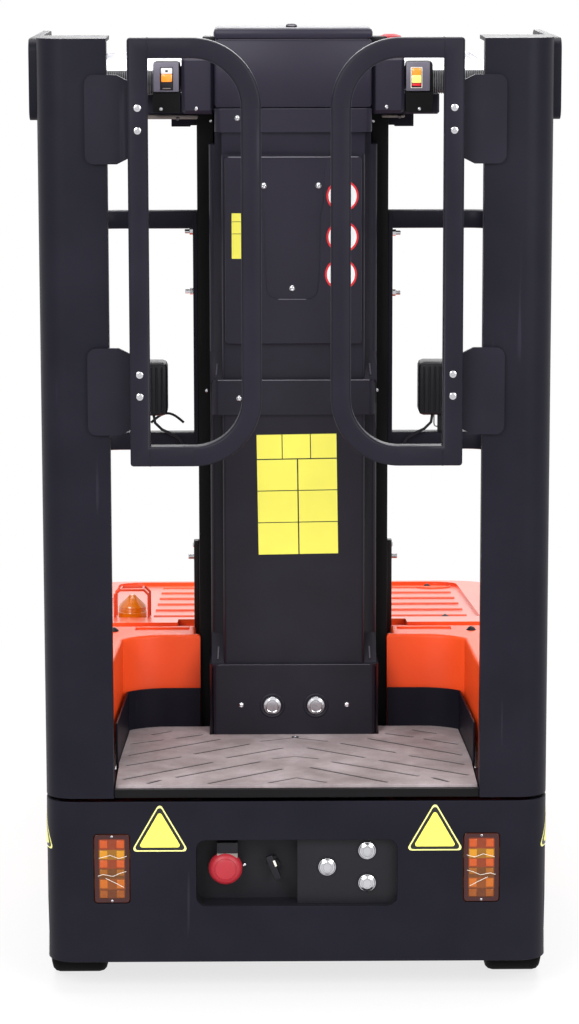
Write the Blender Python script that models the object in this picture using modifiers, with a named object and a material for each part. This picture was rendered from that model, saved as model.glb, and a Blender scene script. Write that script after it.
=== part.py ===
# Low-level order picker: a stand-on truck with a telescopic mast, a lifting operator
# platform closed by two swing gates, and a load tray in front of the mast.
# Metres, +Z up, +Y forward, with the operator's entrance at -Y.
# The origin is on the floor, under the middle of the bounding box.
import math

import bmesh
import bpy
from mathutils import Matrix, Vector

# Overall sizes
truck_length = 1.50
truck_width = 0.75
post_top = 1.4255
half_width = truck_width / 2
seat_gap = 0.0003
moving_gap = 0.006

# Gates, which stand behind the posts and so are the rearmost pieces
gate_bottom = 0.809
gate_top = 1.4275
gate_tube = 0.0290
gate_bend = 0.085
gate_outer_x = 0.2415
gate_inner_x = 0.0500
stop_plate = 0.006
stop_gap = 0.0008
hinge_x = 0.2555
hinge_forward = 0.010
hinge_radius = 0.0065
hinge_levels = (1.310, 0.915)
rear = -truck_length / 2 + gate_tube + stop_plate + stop_gap
front = truck_length / 2

# Rear skirt and the control pocket in it
skirt_bottom = 0.0495
skirt_top = 0.2975
skirt_wall = 0.005
skirt_corner = 0.042
skirt_length = 0.60
pocket_half_width = 0.1505
pocket_bottom = 0.136
pocket_top = 0.238
pocket_depth = 0.045
pocket_corner = 0.014
pocket_wall = 0.003
lamp_x = 0.2765
lamp_width = 0.0525
lamp_height = 0.105
lamp_z = 0.1945
lamp_clearance = 0.0012
stop_x = -0.1068
stop_z = 0.189
key_x = -0.0348
button_radius = 0.0125
button_places = ((0.0457, 0.192), (0.1057, 0.217), (0.1057, 0.167))

# Drive wheels and casters
drive_radius = 0.090
drive_width = 0.084
drive_x = 0.3310
drive_y = rear + 0.127
hub_radius = 0.055
tyre_shoulder = 0.012
wheel_dish = 0.014
arch_radius = drive_radius + moving_gap
gear_radius = 0.052
motor_radius = 0.050
caster_radius = 0.065
caster_width = 0.046
caster_bore = 0.0075
caster_x = 0.257
caster_y = rear + 1.285
caster_trail = 0.030
caster_plate_z = 0.172

# Base frame
frame_beam_x = 0.125
frame_beam_width = 0.040
frame_beam_bottom = 0.140
frame_beam_top = 0.190
seat_cross_y = rear + 0.6685

# Operator platform
floor_bottom = 0.3027
floor_thickness = 0.010
mat_thickness = 0.0065
mat_half_width = 0.270
mat_back = rear + 0.014
toe_wall = 0.003
toe_height = 0.0795
tongue_half_width = 0.143

# Posts at the entrance
post_inner_x = 0.2725
post_depth = 0.140
post_wall = 0.005
post_return = 0.028
post_corner = 0.042

# Orange side covers round the operator: the wall before the feet bends back beside them
cover_top = 0.467
cover_shelf = 0.440
cover_rim = 0.005
cover_back = rear + 0.150
cover_front_wall = rear + 0.400
cover_strip_end = rear + 0.468
cover_front = rear + 0.600
cover_wall = 0.005
cover_end_x = 0.149
cover_lip = 0.012
cover_slot = ((0.167, 0.436), (0.254, 0.461))
cover_slot_depth = 0.003
bend_start_x = 0.202
bend_end_x = 0.272
bend_drop = 0.030
wall_end_x = 0.281

# Mast: three nested stages of channel section
mast_half_width = 0.151
mast_back = rear + 0.470
mast_depth = 0.110
stage_gap = 0.005
stage_wall = 0.007
flange_wall = 0.009
flange_end_x = 0.100
mast_bottom = 0.080
foot_top = 0.100
mast_top = 1.360
stage_stroke = 0.90

cylinder_y = rear + 0.632
cylinder_radius = 0.030
cylinder_top = 1.120
rod_radius = 0.018
rod_bottom = 0.145
rod_top = 1.3297

# Carriage that carries the platform, in the innermost stage
frame_upright_x = (0.124, 0.150)
frame_upright_y = (rear + 0.420, rear + 0.455)
upright_top = 1.300

# Guard rails, between the posts and the carriage
rail_levels = (("upper", 1.128), ("lower", 0.776))
rail_size = 0.028
hinge_y = rear + hinge_forward

# Mast cover and console
mast_cover_back = rear + 0.4195
mast_cover_wall = 0.004
console_face = rear + 0.335
console_top = 1.429

# Load tray
tray_half_width = 0.327
tray_back = rear + 0.75
tray_front = rear + 1.215
tray_z = 1.345
tray_wall = 0.0025
tray_height = 0.0125

# Hood over the battery, with a shallow ribbed recess in its falling top
hood_back = rear + 0.6005
hood_front = front
hood_edge = half_width - 0.003
hood_corner = 0.075
hood_bottom = 0.070
hood_wall = 0.005
hood_high = 0.446
hood_low = 0.347
recess_half_width = 0.318
recess_back = rear + 0.698
recess_front = rear + 1.440
recess_depth = 0.007
recess_corner = 0.050
rib_places = (0.78, 0.90, 1.02, 1.14, 1.26, 1.38)
rib_half = 0.007
rib_height = 0.003

# Beacon and its wire guard on the hood
beacon_x = -0.2695
beacon_y = rear + 0.740
beacon_base = 0.0240
guard_half_x = 0.0285
guard_half_y = 0.035
guard_height = 0.0505
guard_wire_radius = 0.0022


for thing in list(bpy.data.objects):
    bpy.data.objects.remove(thing, do_unlink=True)

parts = bpy.data.collections.new("order_picker")
cutters = bpy.data.collections.new("cutters")
cutters.hide_render = True
bpy.context.scene.collection.children.link(parts)
bpy.context.scene.collection.children.link(cutters)


# Materials: name, colour, roughness, metallic
finishes = {}
for name, colour, roughness, metallic in (
    ("black_paint", (0.022, 0.021, 0.028), 0.45, 0.0),
    ("black_plastic", (0.012, 0.012, 0.014), 0.55, 0.0),
    ("orange_cover", (1.0, 0.13, 0.02), 0.38, 0.0),
    ("mat_rubber", (0.22, 0.18, 0.17), 0.85, 0.0),
    ("tyre_rubber", (0.010, 0.010, 0.010), 0.80, 0.0),
    ("bright_steel", (0.62, 0.62, 0.64), 0.30, 1.0),
    ("amber_lens", (1.0, 0.25, 0.01), 0.15, 0.0),
    ("red_plastic", (0.65, 0.02, 0.03), 0.35, 0.0),
    ("tray_metal", (0.75, 0.75, 0.78), 0.35, 0.6),
):
    finish = bpy.data.materials.new(name)
    finish.use_nodes = True
    shader = finish.node_tree.nodes["Principled BSDF"]
    shader.inputs["Base Color"].default_value = (*colour, 1.0)
    shader.inputs["Roughness"].default_value = roughness
    shader.inputs["Metallic"].default_value = metallic
    finishes[name] = finish


def place(name, mesh, origin=(0, 0, 0)):
    """A mesh given in world places becomes an object with its origin at the given point."""
    origin = Vector(origin)
    mesh.transform(Matrix.Translation(-origin))
    thing = bpy.data.objects.new(name, mesh)
    thing.location = origin
    parts.objects.link(thing)
    return thing


def finished(thing, finish, sharp=35):
    thing.data.materials.clear()
    thing.data.materials.append(finishes[finish])
    thing.data.shade_smooth()
    thing.data.set_sharp_from_angle(angle=math.radians(sharp))
    return thing


def rounded_edges(thing, width, steps=2, angle=40):
    bevel = thing.modifiers.new("Rounded edges", "BEVEL")
    bevel.width = width
    bevel.segments = steps
    bevel.limit_method = "ANGLE"
    bevel.angle_limit = math.radians(angle)
    return thing


def box(name, low, high, rounding=0.0, steps=2):
    """A box between two corners, with its origin at its middle."""
    low, high = Vector(low), Vector(high)
    mesh = bpy.data.meshes.new(name)
    shape = bmesh.new()
    bmesh.ops.create_cube(shape, size=1.0)
    bmesh.ops.scale(shape, vec=high - low, verts=shape.verts)
    shape.to_mesh(mesh)
    shape.free()
    thing = bpy.data.objects.new(name, mesh)
    thing.location = (low + high) / 2
    parts.objects.link(thing)
    if rounding:
        rounded_edges(thing, rounding, steps)
    return thing


turn_to = {
    "X": Matrix.Rotation(math.radians(90), 4, "Y"),
    "Y": Matrix.Rotation(math.radians(-90), 4, "X"),
    "Z": Matrix.Identity(4),
}


def rod(name, centre, radius, length, along="Z", sides=24):
    """A round bar about its centre, lying along X, Y or Z."""
    mesh = bpy.data.meshes.new(name)
    shape = bmesh.new()
    bmesh.ops.create_cone(shape, cap_ends=True, segments=sides, radius1=radius, radius2=radius, depth=length)
    bmesh.ops.transform(shape, matrix=turn_to[along], verts=shape.verts)
    shape.to_mesh(mesh)
    shape.free()
    thing = bpy.data.objects.new(name, mesh)
    thing.location = centre
    parts.objects.link(thing)
    return thing


def turned(name, centre, profile, along="Z", sides=32):
    """A turned solid: the profile is (radius, height), from the top on the axis down its outer side."""
    mesh = bpy.data.meshes.new(name)
    points = [(radius, 0.0, height) for radius, height in profile]
    mesh.from_pydata(points, [(i, i + 1) for i in range(len(points) - 1)], [])
    thing = bpy.data.objects.new(name, mesh)
    thing.location = centre
    thing.rotation_euler = turn_to[along].to_euler()
    parts.objects.link(thing)
    screw = thing.modifiers.new("Turn", "SCREW")
    screw.steps = sides
    screw.render_steps = sides
    screw.use_merge_vertices = True
    screw.merge_threshold = 0.00005
    return thing


def arc(centre, radius, start, end, steps=6):
    """Points along an arc, angles in degrees."""
    points = []
    for step in range(steps + 1):
        angle = math.radians(start + (end - start) * step / steps)
        points.append((centre[0] + radius * math.cos(angle), centre[1] + radius * math.sin(angle)))
    return points


def rounded_outline(corners, steps=4):
    """A closed outline from corners (u, v, radius), each rounded by an arc."""
    outline = []
    for index, (u, v, radius) in enumerate(corners):
        corner = Vector((u, v))
        if not radius:
            outline.append((u, v))
            continue
        before = (Vector(corners[index - 1][:2]) - corner).normalized()
        after = (Vector(corners[(index + 1) % len(corners)][:2]) - corner).normalized()
        half = before.angle(after) / 2
        reach = radius / math.tan(half)
        middle = corner + (before + after).normalized() * radius / math.sin(half)
        first = corner + before * reach - middle
        last = corner + after * reach - middle
        sweep = math.atan2(first.cross(last), first.dot(last))
        for step in range(steps + 1):
            turn = sweep * step / steps
            cos, sin = math.cos(turn), math.sin(turn)
            outline.append((middle.x + first.x * cos - first.y * sin, middle.y + first.x * sin + first.y * cos))
    return outline


def rounded_rim(thing, level, width, steps=3):
    """Rounds the outer edges of a plate that lie at the given height."""
    shape = bmesh.new()
    shape.from_mesh(thing.data)
    height = level - thing.location.z
    flat = math.radians(1)
    bmesh.ops.dissolve_limit(shape, angle_limit=flat, verts=shape.verts, edges=shape.edges)
    rim = [
        edge for edge in shape.edges
        if edge.calc_face_angle(0.0) > flat and all(abs(end.co.z - height) < width / 10 for end in edge.verts)
    ]
    bmesh.ops.bevel(shape, geom=rim, offset=width, segments=steps, profile=0.5, affect="EDGES")
    bmesh.ops.recalc_face_normals(shape, faces=shape.faces)
    shape.to_mesh(thing.data)
    shape.free()
    return thing


def rectangle(u_low, v_low, u_high, v_high, radius=0.0):
    return [(u_low, v_low, radius), (u_high, v_low, radius), (u_high, v_high, radius), (u_low, v_high, radius)]


# Which world axes an outline's u, v and thickness run along
facings = {
    "Z": Matrix(((1, 0, 0, 0), (0, 1, 0, 0), (0, 0, 1, 0), (0, 0, 0, 1))),
    "Y": Matrix(((1, 0, 0, 0), (0, 0, -1, 0), (0, 1, 0, 0), (0, 0, 0, 1))),
    "X": Matrix(((0, 0, 1, 0), (1, 0, 0, 0), (0, 1, 0, 0), (0, 0, 0, 1))),
}


def meshed(thing):
    """Turns a curve object into a mesh object with closed caps."""
    graph = bpy.context.evaluated_depsgraph_get()
    mesh = bpy.data.meshes.new_from_object(thing.evaluated_get(graph))
    mesh.transform(thing.matrix_world)
    shape = bmesh.new()
    shape.from_mesh(mesh)
    bmesh.ops.remove_doubles(shape, verts=shape.verts, dist=0.00002)
    bmesh.ops.recalc_face_normals(shape, faces=shape.faces)
    shape.to_mesh(mesh)
    shape.free()
    name = thing.name
    bpy.data.objects.remove(thing, do_unlink=True)
    return name, mesh


def plate(name, outline, low, high, facing="Z", origin=None):
    """A flat outline with thickness from low to high along the facing axis."""
    curve = bpy.data.curves.new(name, "CURVE")
    curve.dimensions = "2D"
    curve.fill_mode = "BOTH"
    curve.extrude = (high - low) / 2
    line = curve.splines.new("POLY")
    line.points.add(len(outline) - 1)
    for point, (u, v) in zip(line.points, outline):
        point.co = (u, v, 0.0, 1.0)
    line.use_cyclic_u = True
    thing = bpy.data.objects.new(name, curve)
    across = {"Z": Vector((0, 0, 1)), "Y": Vector((0, 1, 0)), "X": Vector((1, 0, 0))}[facing]
    thing.matrix_world = Matrix.Translation(across * (low + high) / 2) @ facings[facing]
    parts.objects.link(thing)
    bpy.context.view_layer.update()
    name, mesh = meshed(thing)
    middle = sum((vertex.co for vertex in mesh.vertices), Vector()) / len(mesh.vertices)
    return place(name, mesh, middle if origin is None else origin)


def bent_sheet(name, path, low, high, wall, inward=True):
    """A sheet standing on a path in plan, from low to high, given its thickness by Solidify."""
    mesh = bpy.data.meshes.new(name)
    points = [(x, y, low) for x, y in path] + [(x, y, high) for x, y in path]
    count = len(path)
    faces = [(i, i + 1, i + 1 + count, i + count) for i in range(count - 1)]
    mesh.from_pydata(points, [], faces)
    thing = place(name, mesh, (0, 0, (low + high) / 2))
    sheet = thing.modifiers.new("Sheet", "SOLIDIFY")
    sheet.thickness = wall
    sheet.offset = -1.0 if inward else 1.0
    sheet.use_even_offset = True
    return thing


def bar_profile(name, width, height, radius):
    """The rounded section that a rail is drawn along."""
    curve = bpy.data.curves.new(name, "CURVE")
    curve.dimensions = "2D"
    outline = rounded_outline(rectangle(-width / 2, -height / 2, width / 2, height / 2, radius), 2)
    line = curve.splines.new("POLY")
    line.points.add(len(outline) - 1)
    for point, (u, v) in zip(line.points, outline):
        point.co = (u, v, 0.0, 1.0)
    line.use_cyclic_u = True
    thing = bpy.data.objects.new(name, curve)
    thing.hide_render = True
    cutters.objects.link(thing)
    return thing


def rail(name, path, section, facing="Z", level=0.0):
    """A bar of the given section along a flat path, which lies at one level of the facing axis."""
    curve = bpy.data.curves.new(name, "CURVE")
    curve.dimensions = "2D"
    curve.fill_mode = "NONE"
    curve.bevel_mode = "OBJECT"
    curve.bevel_object = section
    curve.use_fill_caps = True
    line = curve.splines.new("POLY")
    line.points.add(len(path) - 1)
    for point, (u, v) in zip(line.points, path):
        point.co = (u, v, 0.0, 1.0)
    thing = bpy.data.objects.new(name, curve)
    across = {"Z": Vector((0, 0, 1)), "Y": Vector((0, 1, 0)), "X": Vector((1, 0, 0))}[facing]
    thing.matrix_world = Matrix.Translation(across * level) @ facings[facing]
    parts.objects.link(thing)
    bpy.context.view_layer.update()
    name, mesh = meshed(thing)
    return place(name, mesh, (0, 0, 0))


def wire(name, points, radius, resolution=1):
    """A round wire or cable through the given points."""
    curve = bpy.data.curves.new(name, "CURVE")
    curve.dimensions = "3D"
    curve.bevel_depth = radius
    curve.bevel_resolution = resolution
    curve.use_fill_caps = True
    line = curve.splines.new("POLY")
    line.points.add(len(points) - 1)
    for point, co in zip(line.points, points):
        point.co = (*co, 1.0)
    thing = bpy.data.objects.new(name, curve)
    parts.objects.link(thing)
    bpy.context.view_layer.update()
    name, mesh = meshed(thing)
    return place(name, mesh, (0, 0, 0))


def helper_group(base, things, word):
    group = bpy.data.collections.new(f"{base.name}_{word}")
    cutters.children.link(group)
    for thing in things:
        for holder in list(thing.users_collection):
            holder.objects.unlink(thing)
        group.objects.link(thing)
        thing.hide_render = True
        thing.display_type = "WIRE"
    return group


def fuse(base, things):
    """Joins the things to the base in one Boolean union."""
    join = base.modifiers.new("Join", "BOOLEAN")
    join.operation = "UNION"
    join.operand_type = "COLLECTION"
    join.collection = helper_group(base, things, "pieces")
    return base


def carve(base, things):
    """Cuts the things from the base."""
    for thing in things:
        cut = base.modifiers.new("Cut", "BOOLEAN")
        cut.operation = "DIFFERENCE"
        cut.object = thing
    helper_group(base, things, f"cuts{len(base.modifiers)}")
    return base


sides = (("left", -1), ("right", 1))


def mirrored(points, side):
    """Points given for the right side, put on the asked side."""
    return [(side * point[0], *point[1:]) for point in points]


# Chassis: base frame
def make_base_frame():
    beam_half = frame_beam_width / 2
    inner_edge = half_width - skirt_wall - seat_gap
    arm_end = hood_edge - hood_wall - seat_gap
    base = box(
        "base_frame",
        (-frame_beam_x - beam_half, rear + 0.68, frame_beam_bottom),
        (-frame_beam_x + beam_half, rear + 1.40, frame_beam_top),
    )
    pieces = [
        box("frame_beam", (frame_beam_x - beam_half, rear + 0.68, frame_beam_bottom),
            (frame_beam_x + beam_half, rear + 1.40, frame_beam_top)),
        box("frame_rear_cross", (-inner_edge, rear + 0.31, 0.125), (inner_edge, rear + 0.37, 0.215)),
        box("frame_mast_seat", (-0.30, rear + 0.43, 0.060), (0.30, rear + 0.67, mast_bottom - seat_gap)),
        box("frame_seat_left", (-0.20, rear + 0.32, 0.060), (-0.1513, rear + 0.67, 0.180)),
        box("frame_seat_right", (0.1513, rear + 0.32, 0.060), (0.20, rear + 0.67, 0.180)),
        box("frame_seat_cross", (-0.20, seat_cross_y, 0.060), (0.20, rear + 0.70, 0.180)),
        box("frame_side_arms", (-arm_end, rear + 0.69, 0.120), (arm_end, rear + 0.72, 0.160)),
        box("frame_front_cross", (-0.320, rear + 1.20, caster_plate_z), (0.320, rear + 1.40, caster_plate_z + 0.012)),
    ]
    fuse(base, pieces)
    return finished(base, "black_paint")


def skirt_path(inset=0.0):
    """The rear skirt in plan, from the left front end round the back to the right one."""
    edge = half_width - inset
    back = rear + inset
    radius = skirt_corner - inset
    left = [(-edge, rear + skirt_length)] + arc((-edge + radius, back + radius), radius, 180, 270)
    right = arc((edge - radius, back + radius), radius, 270, 360) + [(edge, rear + skirt_length)]
    return left + right


def make_rear_skirt():
    skirt = bent_sheet("rear_skirt", skirt_path(), skirt_bottom, skirt_top, skirt_wall)
    cuts = []
    for name, side in sides:
        cuts.append(rod(f"wheel_arch_{name}", (side * half_width, drive_y, drive_radius), arch_radius, 0.09, "X", 40))
        lamp_half = lamp_width / 2 + lamp_clearance
        height_half = lamp_height / 2 + lamp_clearance
        hole = rounded_outline(rectangle(
            side * lamp_x - lamp_half, lamp_z - height_half, side * lamp_x + lamp_half, lamp_z + height_half, 0.006))
        cuts.append(plate(f"lamp_hole_{name}", hole, rear - 0.02, rear + 0.02, "Y"))
    pocket = rounded_outline(rectangle(
        -pocket_half_width, pocket_bottom, pocket_half_width, pocket_top, pocket_corner))
    cuts.append(plate("pocket_hole", pocket, rear - 0.02, rear + 0.02, "Y"))
    carve(skirt, cuts)
    return finished(skirt, "black_paint")


def make_control_pocket():
    back = rear + skirt_wall + seat_gap
    low = (-pocket_half_width - 0.006, back, pocket_bottom - 0.006)
    high = (pocket_half_width + 0.006, back + pocket_depth, pocket_top + 0.006)
    pocket = box("control_pocket", low, high)
    inside = rounded_outline(rectangle(
        -pocket_half_width, pocket_bottom, pocket_half_width, pocket_top, pocket_corner))
    carve(pocket, [plate("pocket_space", inside, back - 0.01, back + pocket_depth - pocket_wall, "Y")])
    sub_face = back + 0.012
    pieces = [box("button_plate", (0.001, sub_face, pocket_bottom - 0.003),
                  (pocket_half_width + 0.003, back + pocket_depth - 0.001, pocket_top + 0.003))]
    for number, (x, z) in enumerate(button_places):
        profile = [(0.0, 0.0055), (button_radius * 0.45, 0.005), (button_radius * 0.8, 0.0032),
                   (button_radius, 0.001), (button_radius, -0.006), (0.0, -0.006)]
        button = turned(f"button_{number}", (x, sub_face, z), profile, "Y", 18)
        button.rotation_euler = (math.radians(90), 0, 0)
        pieces.append(button)
    key_face = back + pocket_depth - pocket_wall
    pieces.append(rod("key_barrel", (key_x, key_face - 0.004, stop_z), 0.010, 0.012, "Y", 20))
    pieces.append(box("key_grip", (key_x - 0.0035, key_face - 0.018, stop_z - 0.016),
                      (key_x + 0.0035, key_face - 0.008, stop_z + 0.016)))
    fuse(pocket, pieces)
    return finished(pocket, "black_plastic")


def make_emergency_stop():
    face = rear + skirt_wall + seat_gap + pocket_depth - pocket_wall - seat_gap
    profile = [(0.0, 0.036), (0.012, 0.0352), (0.020, 0.0325), (0.0245, 0.028), (0.0255, 0.024),
               (0.024, 0.0205), (0.0145, 0.0195), (0.0135, 0.010), (0.017, 0.0095), (0.017, 0.0), (0.0, 0.0)]
    stop = turned("emergency_stop", (stop_x, face, stop_z), profile, "Y", 24)
    stop.rotation_euler = (math.radians(90), 0, 0)
    return finished(stop, "red_plastic")


def make_amber_lamp(name, side):
    half, tall, border = lamp_width / 2, lamp_height / 2, 0.008
    middle = side * lamp_x
    outline = rounded_outline(rectangle(middle - half, lamp_z - tall, middle + half, lamp_z + tall, 0.005))
    lamp = plate(f"amber_lamp_{name}", outline, rear + 0.0015, rear + 0.022, "Y")
    back = box(f"lamp_back_{name}", (middle - half - border, rear + skirt_wall + seat_gap, lamp_z - tall - border),
               (middle + half + border, rear + 0.030, lamp_z + tall + border))
    fuse(lamp, [back])
    return finished(lamp, "amber_lens")


# Drive wheels
def tyre_profile():
    """The drive wheel's half section from the middle of one side, over the tread, to the other side."""
    half = drive_width / 2
    tread = drive_radius - tyre_shoulder
    over = arc((tread, half - tyre_shoulder), tyre_shoulder, 90, 0, 3)
    under = arc((tread, -half + tyre_shoulder), tyre_shoulder, 0, -90, 3)
    rim_radius = hub_radius + wheel_dish * 0.6
    top = [(0.0, half - wheel_dish), (hub_radius, half - wheel_dish), (rim_radius, half)]
    bottom = [(rim_radius, -half), (hub_radius, -half + wheel_dish), (0.0, -half + wheel_dish)]
    return top + over + under + bottom


def make_drive_wheel(name, side):
    wheel = turned(f"drive_wheel_{name}", (side * drive_x, drive_y, drive_radius), tyre_profile(), "X", 32)
    wheel.rotation_euler = (0, math.radians(90), 0)
    return finished(wheel, "tyre_rubber")


def make_drive_unit(name, side):
    inner_face = drive_x - drive_width / 2
    gear_low = inner_face - 0.0303
    unit = rod(f"drive_unit_{name}", (side * (gear_low + 0.005), drive_y, drive_radius), gear_radius, 0.040, "X", 28)
    motor = rod("motor", (side * (gear_low - 0.075), drive_y, drive_radius), motor_radius, 0.130, "X", 28)
    bracket = box("motor_bracket", (min(side * 0.12, side * 0.24), drive_y + 0.03, drive_radius - 0.03),
                  (max(side * 0.12, side * 0.24), rear + 0.31 - seat_gap, drive_radius + 0.06))
    stub_start, stub_end = inner_face - 0.012, inner_face + wheel_dish - seat_gap
    stub_middle = side * (stub_start + stub_end) / 2
    stub = rod("axle_stub", (stub_middle, drive_y, drive_radius), 0.022, stub_end - stub_start, "X", 20)
    fuse(unit, [motor, bracket, stub])
    return finished(unit, "black_paint")


# Swivel casters under the front
def make_caster(name, side):
    swivel = Vector((side * caster_x, caster_y, 0.0))
    axle = swivel + Vector((0, -caster_trail, caster_radius))
    gap = caster_width / 2 + 0.005
    fork = rod(f"caster_fork_{name}", swivel + Vector((0, 0, caster_plate_z - 0.0103)), 0.040, 0.020, "Z", 28)
    pieces = [box("fork_crown", (swivel.x - gap - 0.005, axle.y - 0.030, caster_plate_z - 0.034),
                  (swivel.x + gap + 0.005, swivel.y + 0.035, caster_plate_z - 0.019))]
    for cheek in (-1, 1):
        inner, outer = swivel.x + cheek * gap, swivel.x + cheek * (gap + 0.005)
        outline = rounded_outline([
            (axle.y - 0.024, axle.z - 0.024, 0.018), (axle.y + 0.024, axle.z - 0.024, 0.018),
            (swivel.y + 0.034, caster_plate_z - 0.022, 0.0), (axle.y - 0.028, caster_plate_z - 0.022, 0.0)])
        pieces.append(plate("fork_cheek", outline, min(inner, outer), max(inner, outer), "X"))
    pieces.append(rod("caster_axle", axle, 0.007, 2 * gap + 0.016, "X", 16))
    fuse(fork, pieces)
    finished(fork, "bright_steel")
    half = caster_width / 2
    shoulder = 0.008
    dish = [(caster_bore, half), (0.018, half), (0.024, half - 0.006), (0.042, half - 0.006), (0.047, half)]
    profile = dish + arc((caster_radius - shoulder, half - shoulder), shoulder, 90, 0, 2)
    profile += arc((caster_radius - shoulder, -half + shoulder), shoulder, 0, -90, 2)
    profile += [(radius, -height) for radius, height in reversed(dish)] + [dish[0]]
    wheel = turned(f"caster_wheel_{name}", axle, profile, "X", 24)
    wheel.rotation_euler = (0, math.radians(90), 0)
    finished(wheel, "tyre_rubber")


# Orange covers beside the operator
def inner_wall_path(side, offset=0.0):
    """The inner wall round the operator's feet in plan, from the mast cover outwards and then back."""
    reach = bend_end_x - bend_start_x
    radius = (reach ** 2 + bend_drop ** 2) / (2 * bend_drop)
    last = math.degrees(math.acos((reach - offset) / (radius - offset)))
    bend = arc((bend_start_x, cover_front_wall - radius), radius - offset, 90, last)
    path = [(cover_end_x, cover_front_wall - offset)] + bend + [(wall_end_x - offset, cover_back)]
    return mirrored(path, side)


def above_shelf(name, side, drop):
    """The space over a side cover's shelf in front of its rim, or that much lower and further back."""
    near, far = sorted((side * (cover_end_x - 0.01), side * (hood_edge + 0.01)))
    return box(name, (near, cover_strip_end - drop, cover_shelf - drop), (far, cover_front + 0.01, cover_top + 0.01))


def make_side_cover(name, side):
    outer = hood_edge
    mast_side = mast_half_width + moving_gap
    lip_end = cover_front_wall + cover_lip
    outline = inner_wall_path(1) + [
        (outer, cover_back), (outer, cover_front), (mast_side, cover_front), (mast_side, lip_end), (cover_end_x, lip_end)]
    cover = plate(f"side_cover_{name}", mirrored(outline, side), skirt_top + seat_gap, cover_top, "Z")
    rounded_rim(cover, cover_top, cover_rim)
    inside = [(mast_side + cover_wall, cover_front_wall + cover_wall)] + inner_wall_path(1, -cover_wall)[1:-1] + [
        (wall_end_x + cover_wall, cover_back + cover_wall), (outer - cover_wall, cover_back + cover_wall),
        (outer - cover_wall, cover_front - cover_wall), (mast_side + cover_wall, cover_front - cover_wall)]
    space = plate(f"cover_space_{name}", mirrored(inside, side), skirt_top - 0.02, cover_top - cover_wall, "Z")
    carve(space, [above_shelf(f"space_shelf_{name}", side, cover_wall)])
    (slot_x, slot_back), (slot_end_x, slot_front) = cover_slot
    slot_near, slot_far = sorted((side * slot_x, side * slot_end_x))
    slot = box("cover_slot", (slot_near, rear + slot_back, cover_top - cover_slot_depth),
               (slot_far, rear + slot_front, cover_top + 0.01))
    carve(cover, [above_shelf(f"shelf_{name}", side, 0.0), slot, space])
    return finished(cover, "orange_cover")


# Hood over the battery and the front casters
def hood_height(y, drop=0.0):
    """Height of the hood's falling top at that depth, or that much lower."""
    share = (y - hood_back) / (hood_front - hood_back)
    return hood_high + share * (hood_low - hood_high) - drop


def above_slope(start, end, drop=0.0):
    """What lies above the hood's falling top between two depths, or above a plane that much lower."""
    above = hood_high + 0.05
    return [(start, hood_height(start, drop)), (end, hood_height(end, drop)), (end, above), (start, above)]


def make_hood():
    half_span = hood_edge + 0.05
    before, behind = hood_back - 0.02, hood_front + 0.02
    outline = rounded_outline([
        (-hood_edge, hood_back, 0.0), (hood_edge, hood_back, 0.0),
        (hood_edge, hood_front, hood_corner), (-hood_edge, hood_front, hood_corner)], 7)
    hood = plate("hood", outline, hood_bottom, hood_high + 0.01, "Z")
    inner_edge, inner_front = hood_edge - hood_wall, hood_front - hood_wall
    inner_corner = hood_corner - hood_wall
    inner = rounded_outline([
        (-inner_edge, before, 0.0), (inner_edge, before, 0.0),
        (inner_edge, inner_front, inner_corner), (-inner_edge, inner_front, inner_corner)], 7)
    space = plate("hood_space", inner, hood_bottom - 0.01, hood_high, "Z")
    carve(space, [plate("space_slope", above_slope(before - 0.01, behind, recess_depth + hood_wall),
                        -half_span, half_span, "X")])
    recess = plate("hood_recess", rounded_outline([
        (-recess_half_width, recess_back, 0.010), (recess_half_width, recess_back, 0.010),
        (recess_half_width, recess_front, recess_corner), (-recess_half_width, recess_front, recess_corner)]),
        hood_low - 0.05, hood_high + 0.03, "Z")
    floor = [(before, hood_low - 0.10), (behind, hood_low - 0.10), (behind, hood_height(behind, recess_depth)),
             (before, hood_height(before, recess_depth))]
    carve(recess, [plate("recess_floor", floor, -half_span, half_span, "X")])
    notch = mast_half_width + moving_gap
    cuts = [
        plate("hood_slope", above_slope(before, behind), -half_span, half_span, "X"),
        space,
        recess,
        box("mast_notch", (-notch, before, hood_bottom - 0.02), (notch, hood_back + 0.085, hood_high + 0.03)),
        box("notch_step", (-notch - 0.033, before, 0.428), (notch + 0.033, hood_back + 0.060, hood_high + 0.03)),
    ]
    carve(hood, cuts)
    ribs = []
    for place_along in rib_places:
        near, far = rear + place_along - rib_half, rear + place_along + rib_half
        section = [(near, hood_height(near, recess_depth + 0.002)), (far, hood_height(far, recess_depth + 0.002)),
                   (far, hood_height(far, recess_depth - rib_height / 2)),
                   (far - rib_half / 2, hood_height(far, recess_depth - rib_height)),
                   (near + rib_half / 2, hood_height(near, recess_depth - rib_height)),
                   (near, hood_height(near, recess_depth - rib_height / 2))]
        ribs.append(plate("hood_rib", section, -0.235, 0.300, "X"))
    fuse(hood, ribs)
    return finished(hood, "orange_cover")


def make_battery():
    block = box("battery_block", (-0.22, rear + 0.73, frame_beam_top + seat_gap), (0.22, rear + 1.13, 0.318), 0.004)
    return finished(block, "black_plastic")


# Mast stages, each a pair of channels that face each other, with cross members
def channel_outline(outer_x, back, depth, wall, flange, side):
    end = back + depth
    outline = [
        (flange_end_x, back), (outer_x, back), (outer_x, end), (flange_end_x, end),
        (flange_end_x, end - flange), (outer_x - wall, end - flange), (outer_x - wall, back + flange),
        (flange_end_x, back + flange)]
    return mirrored(outline, side)


def stage_section(level):
    """Outer half width, back, depth of a mast stage: level 0 is the fixed one."""
    outer_x = mast_half_width - level * (stage_wall + stage_gap)
    back = mast_back + level * (flange_wall + stage_gap)
    depth = mast_depth - 2 * level * (flange_wall + stage_gap)
    return outer_x, back, depth


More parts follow.
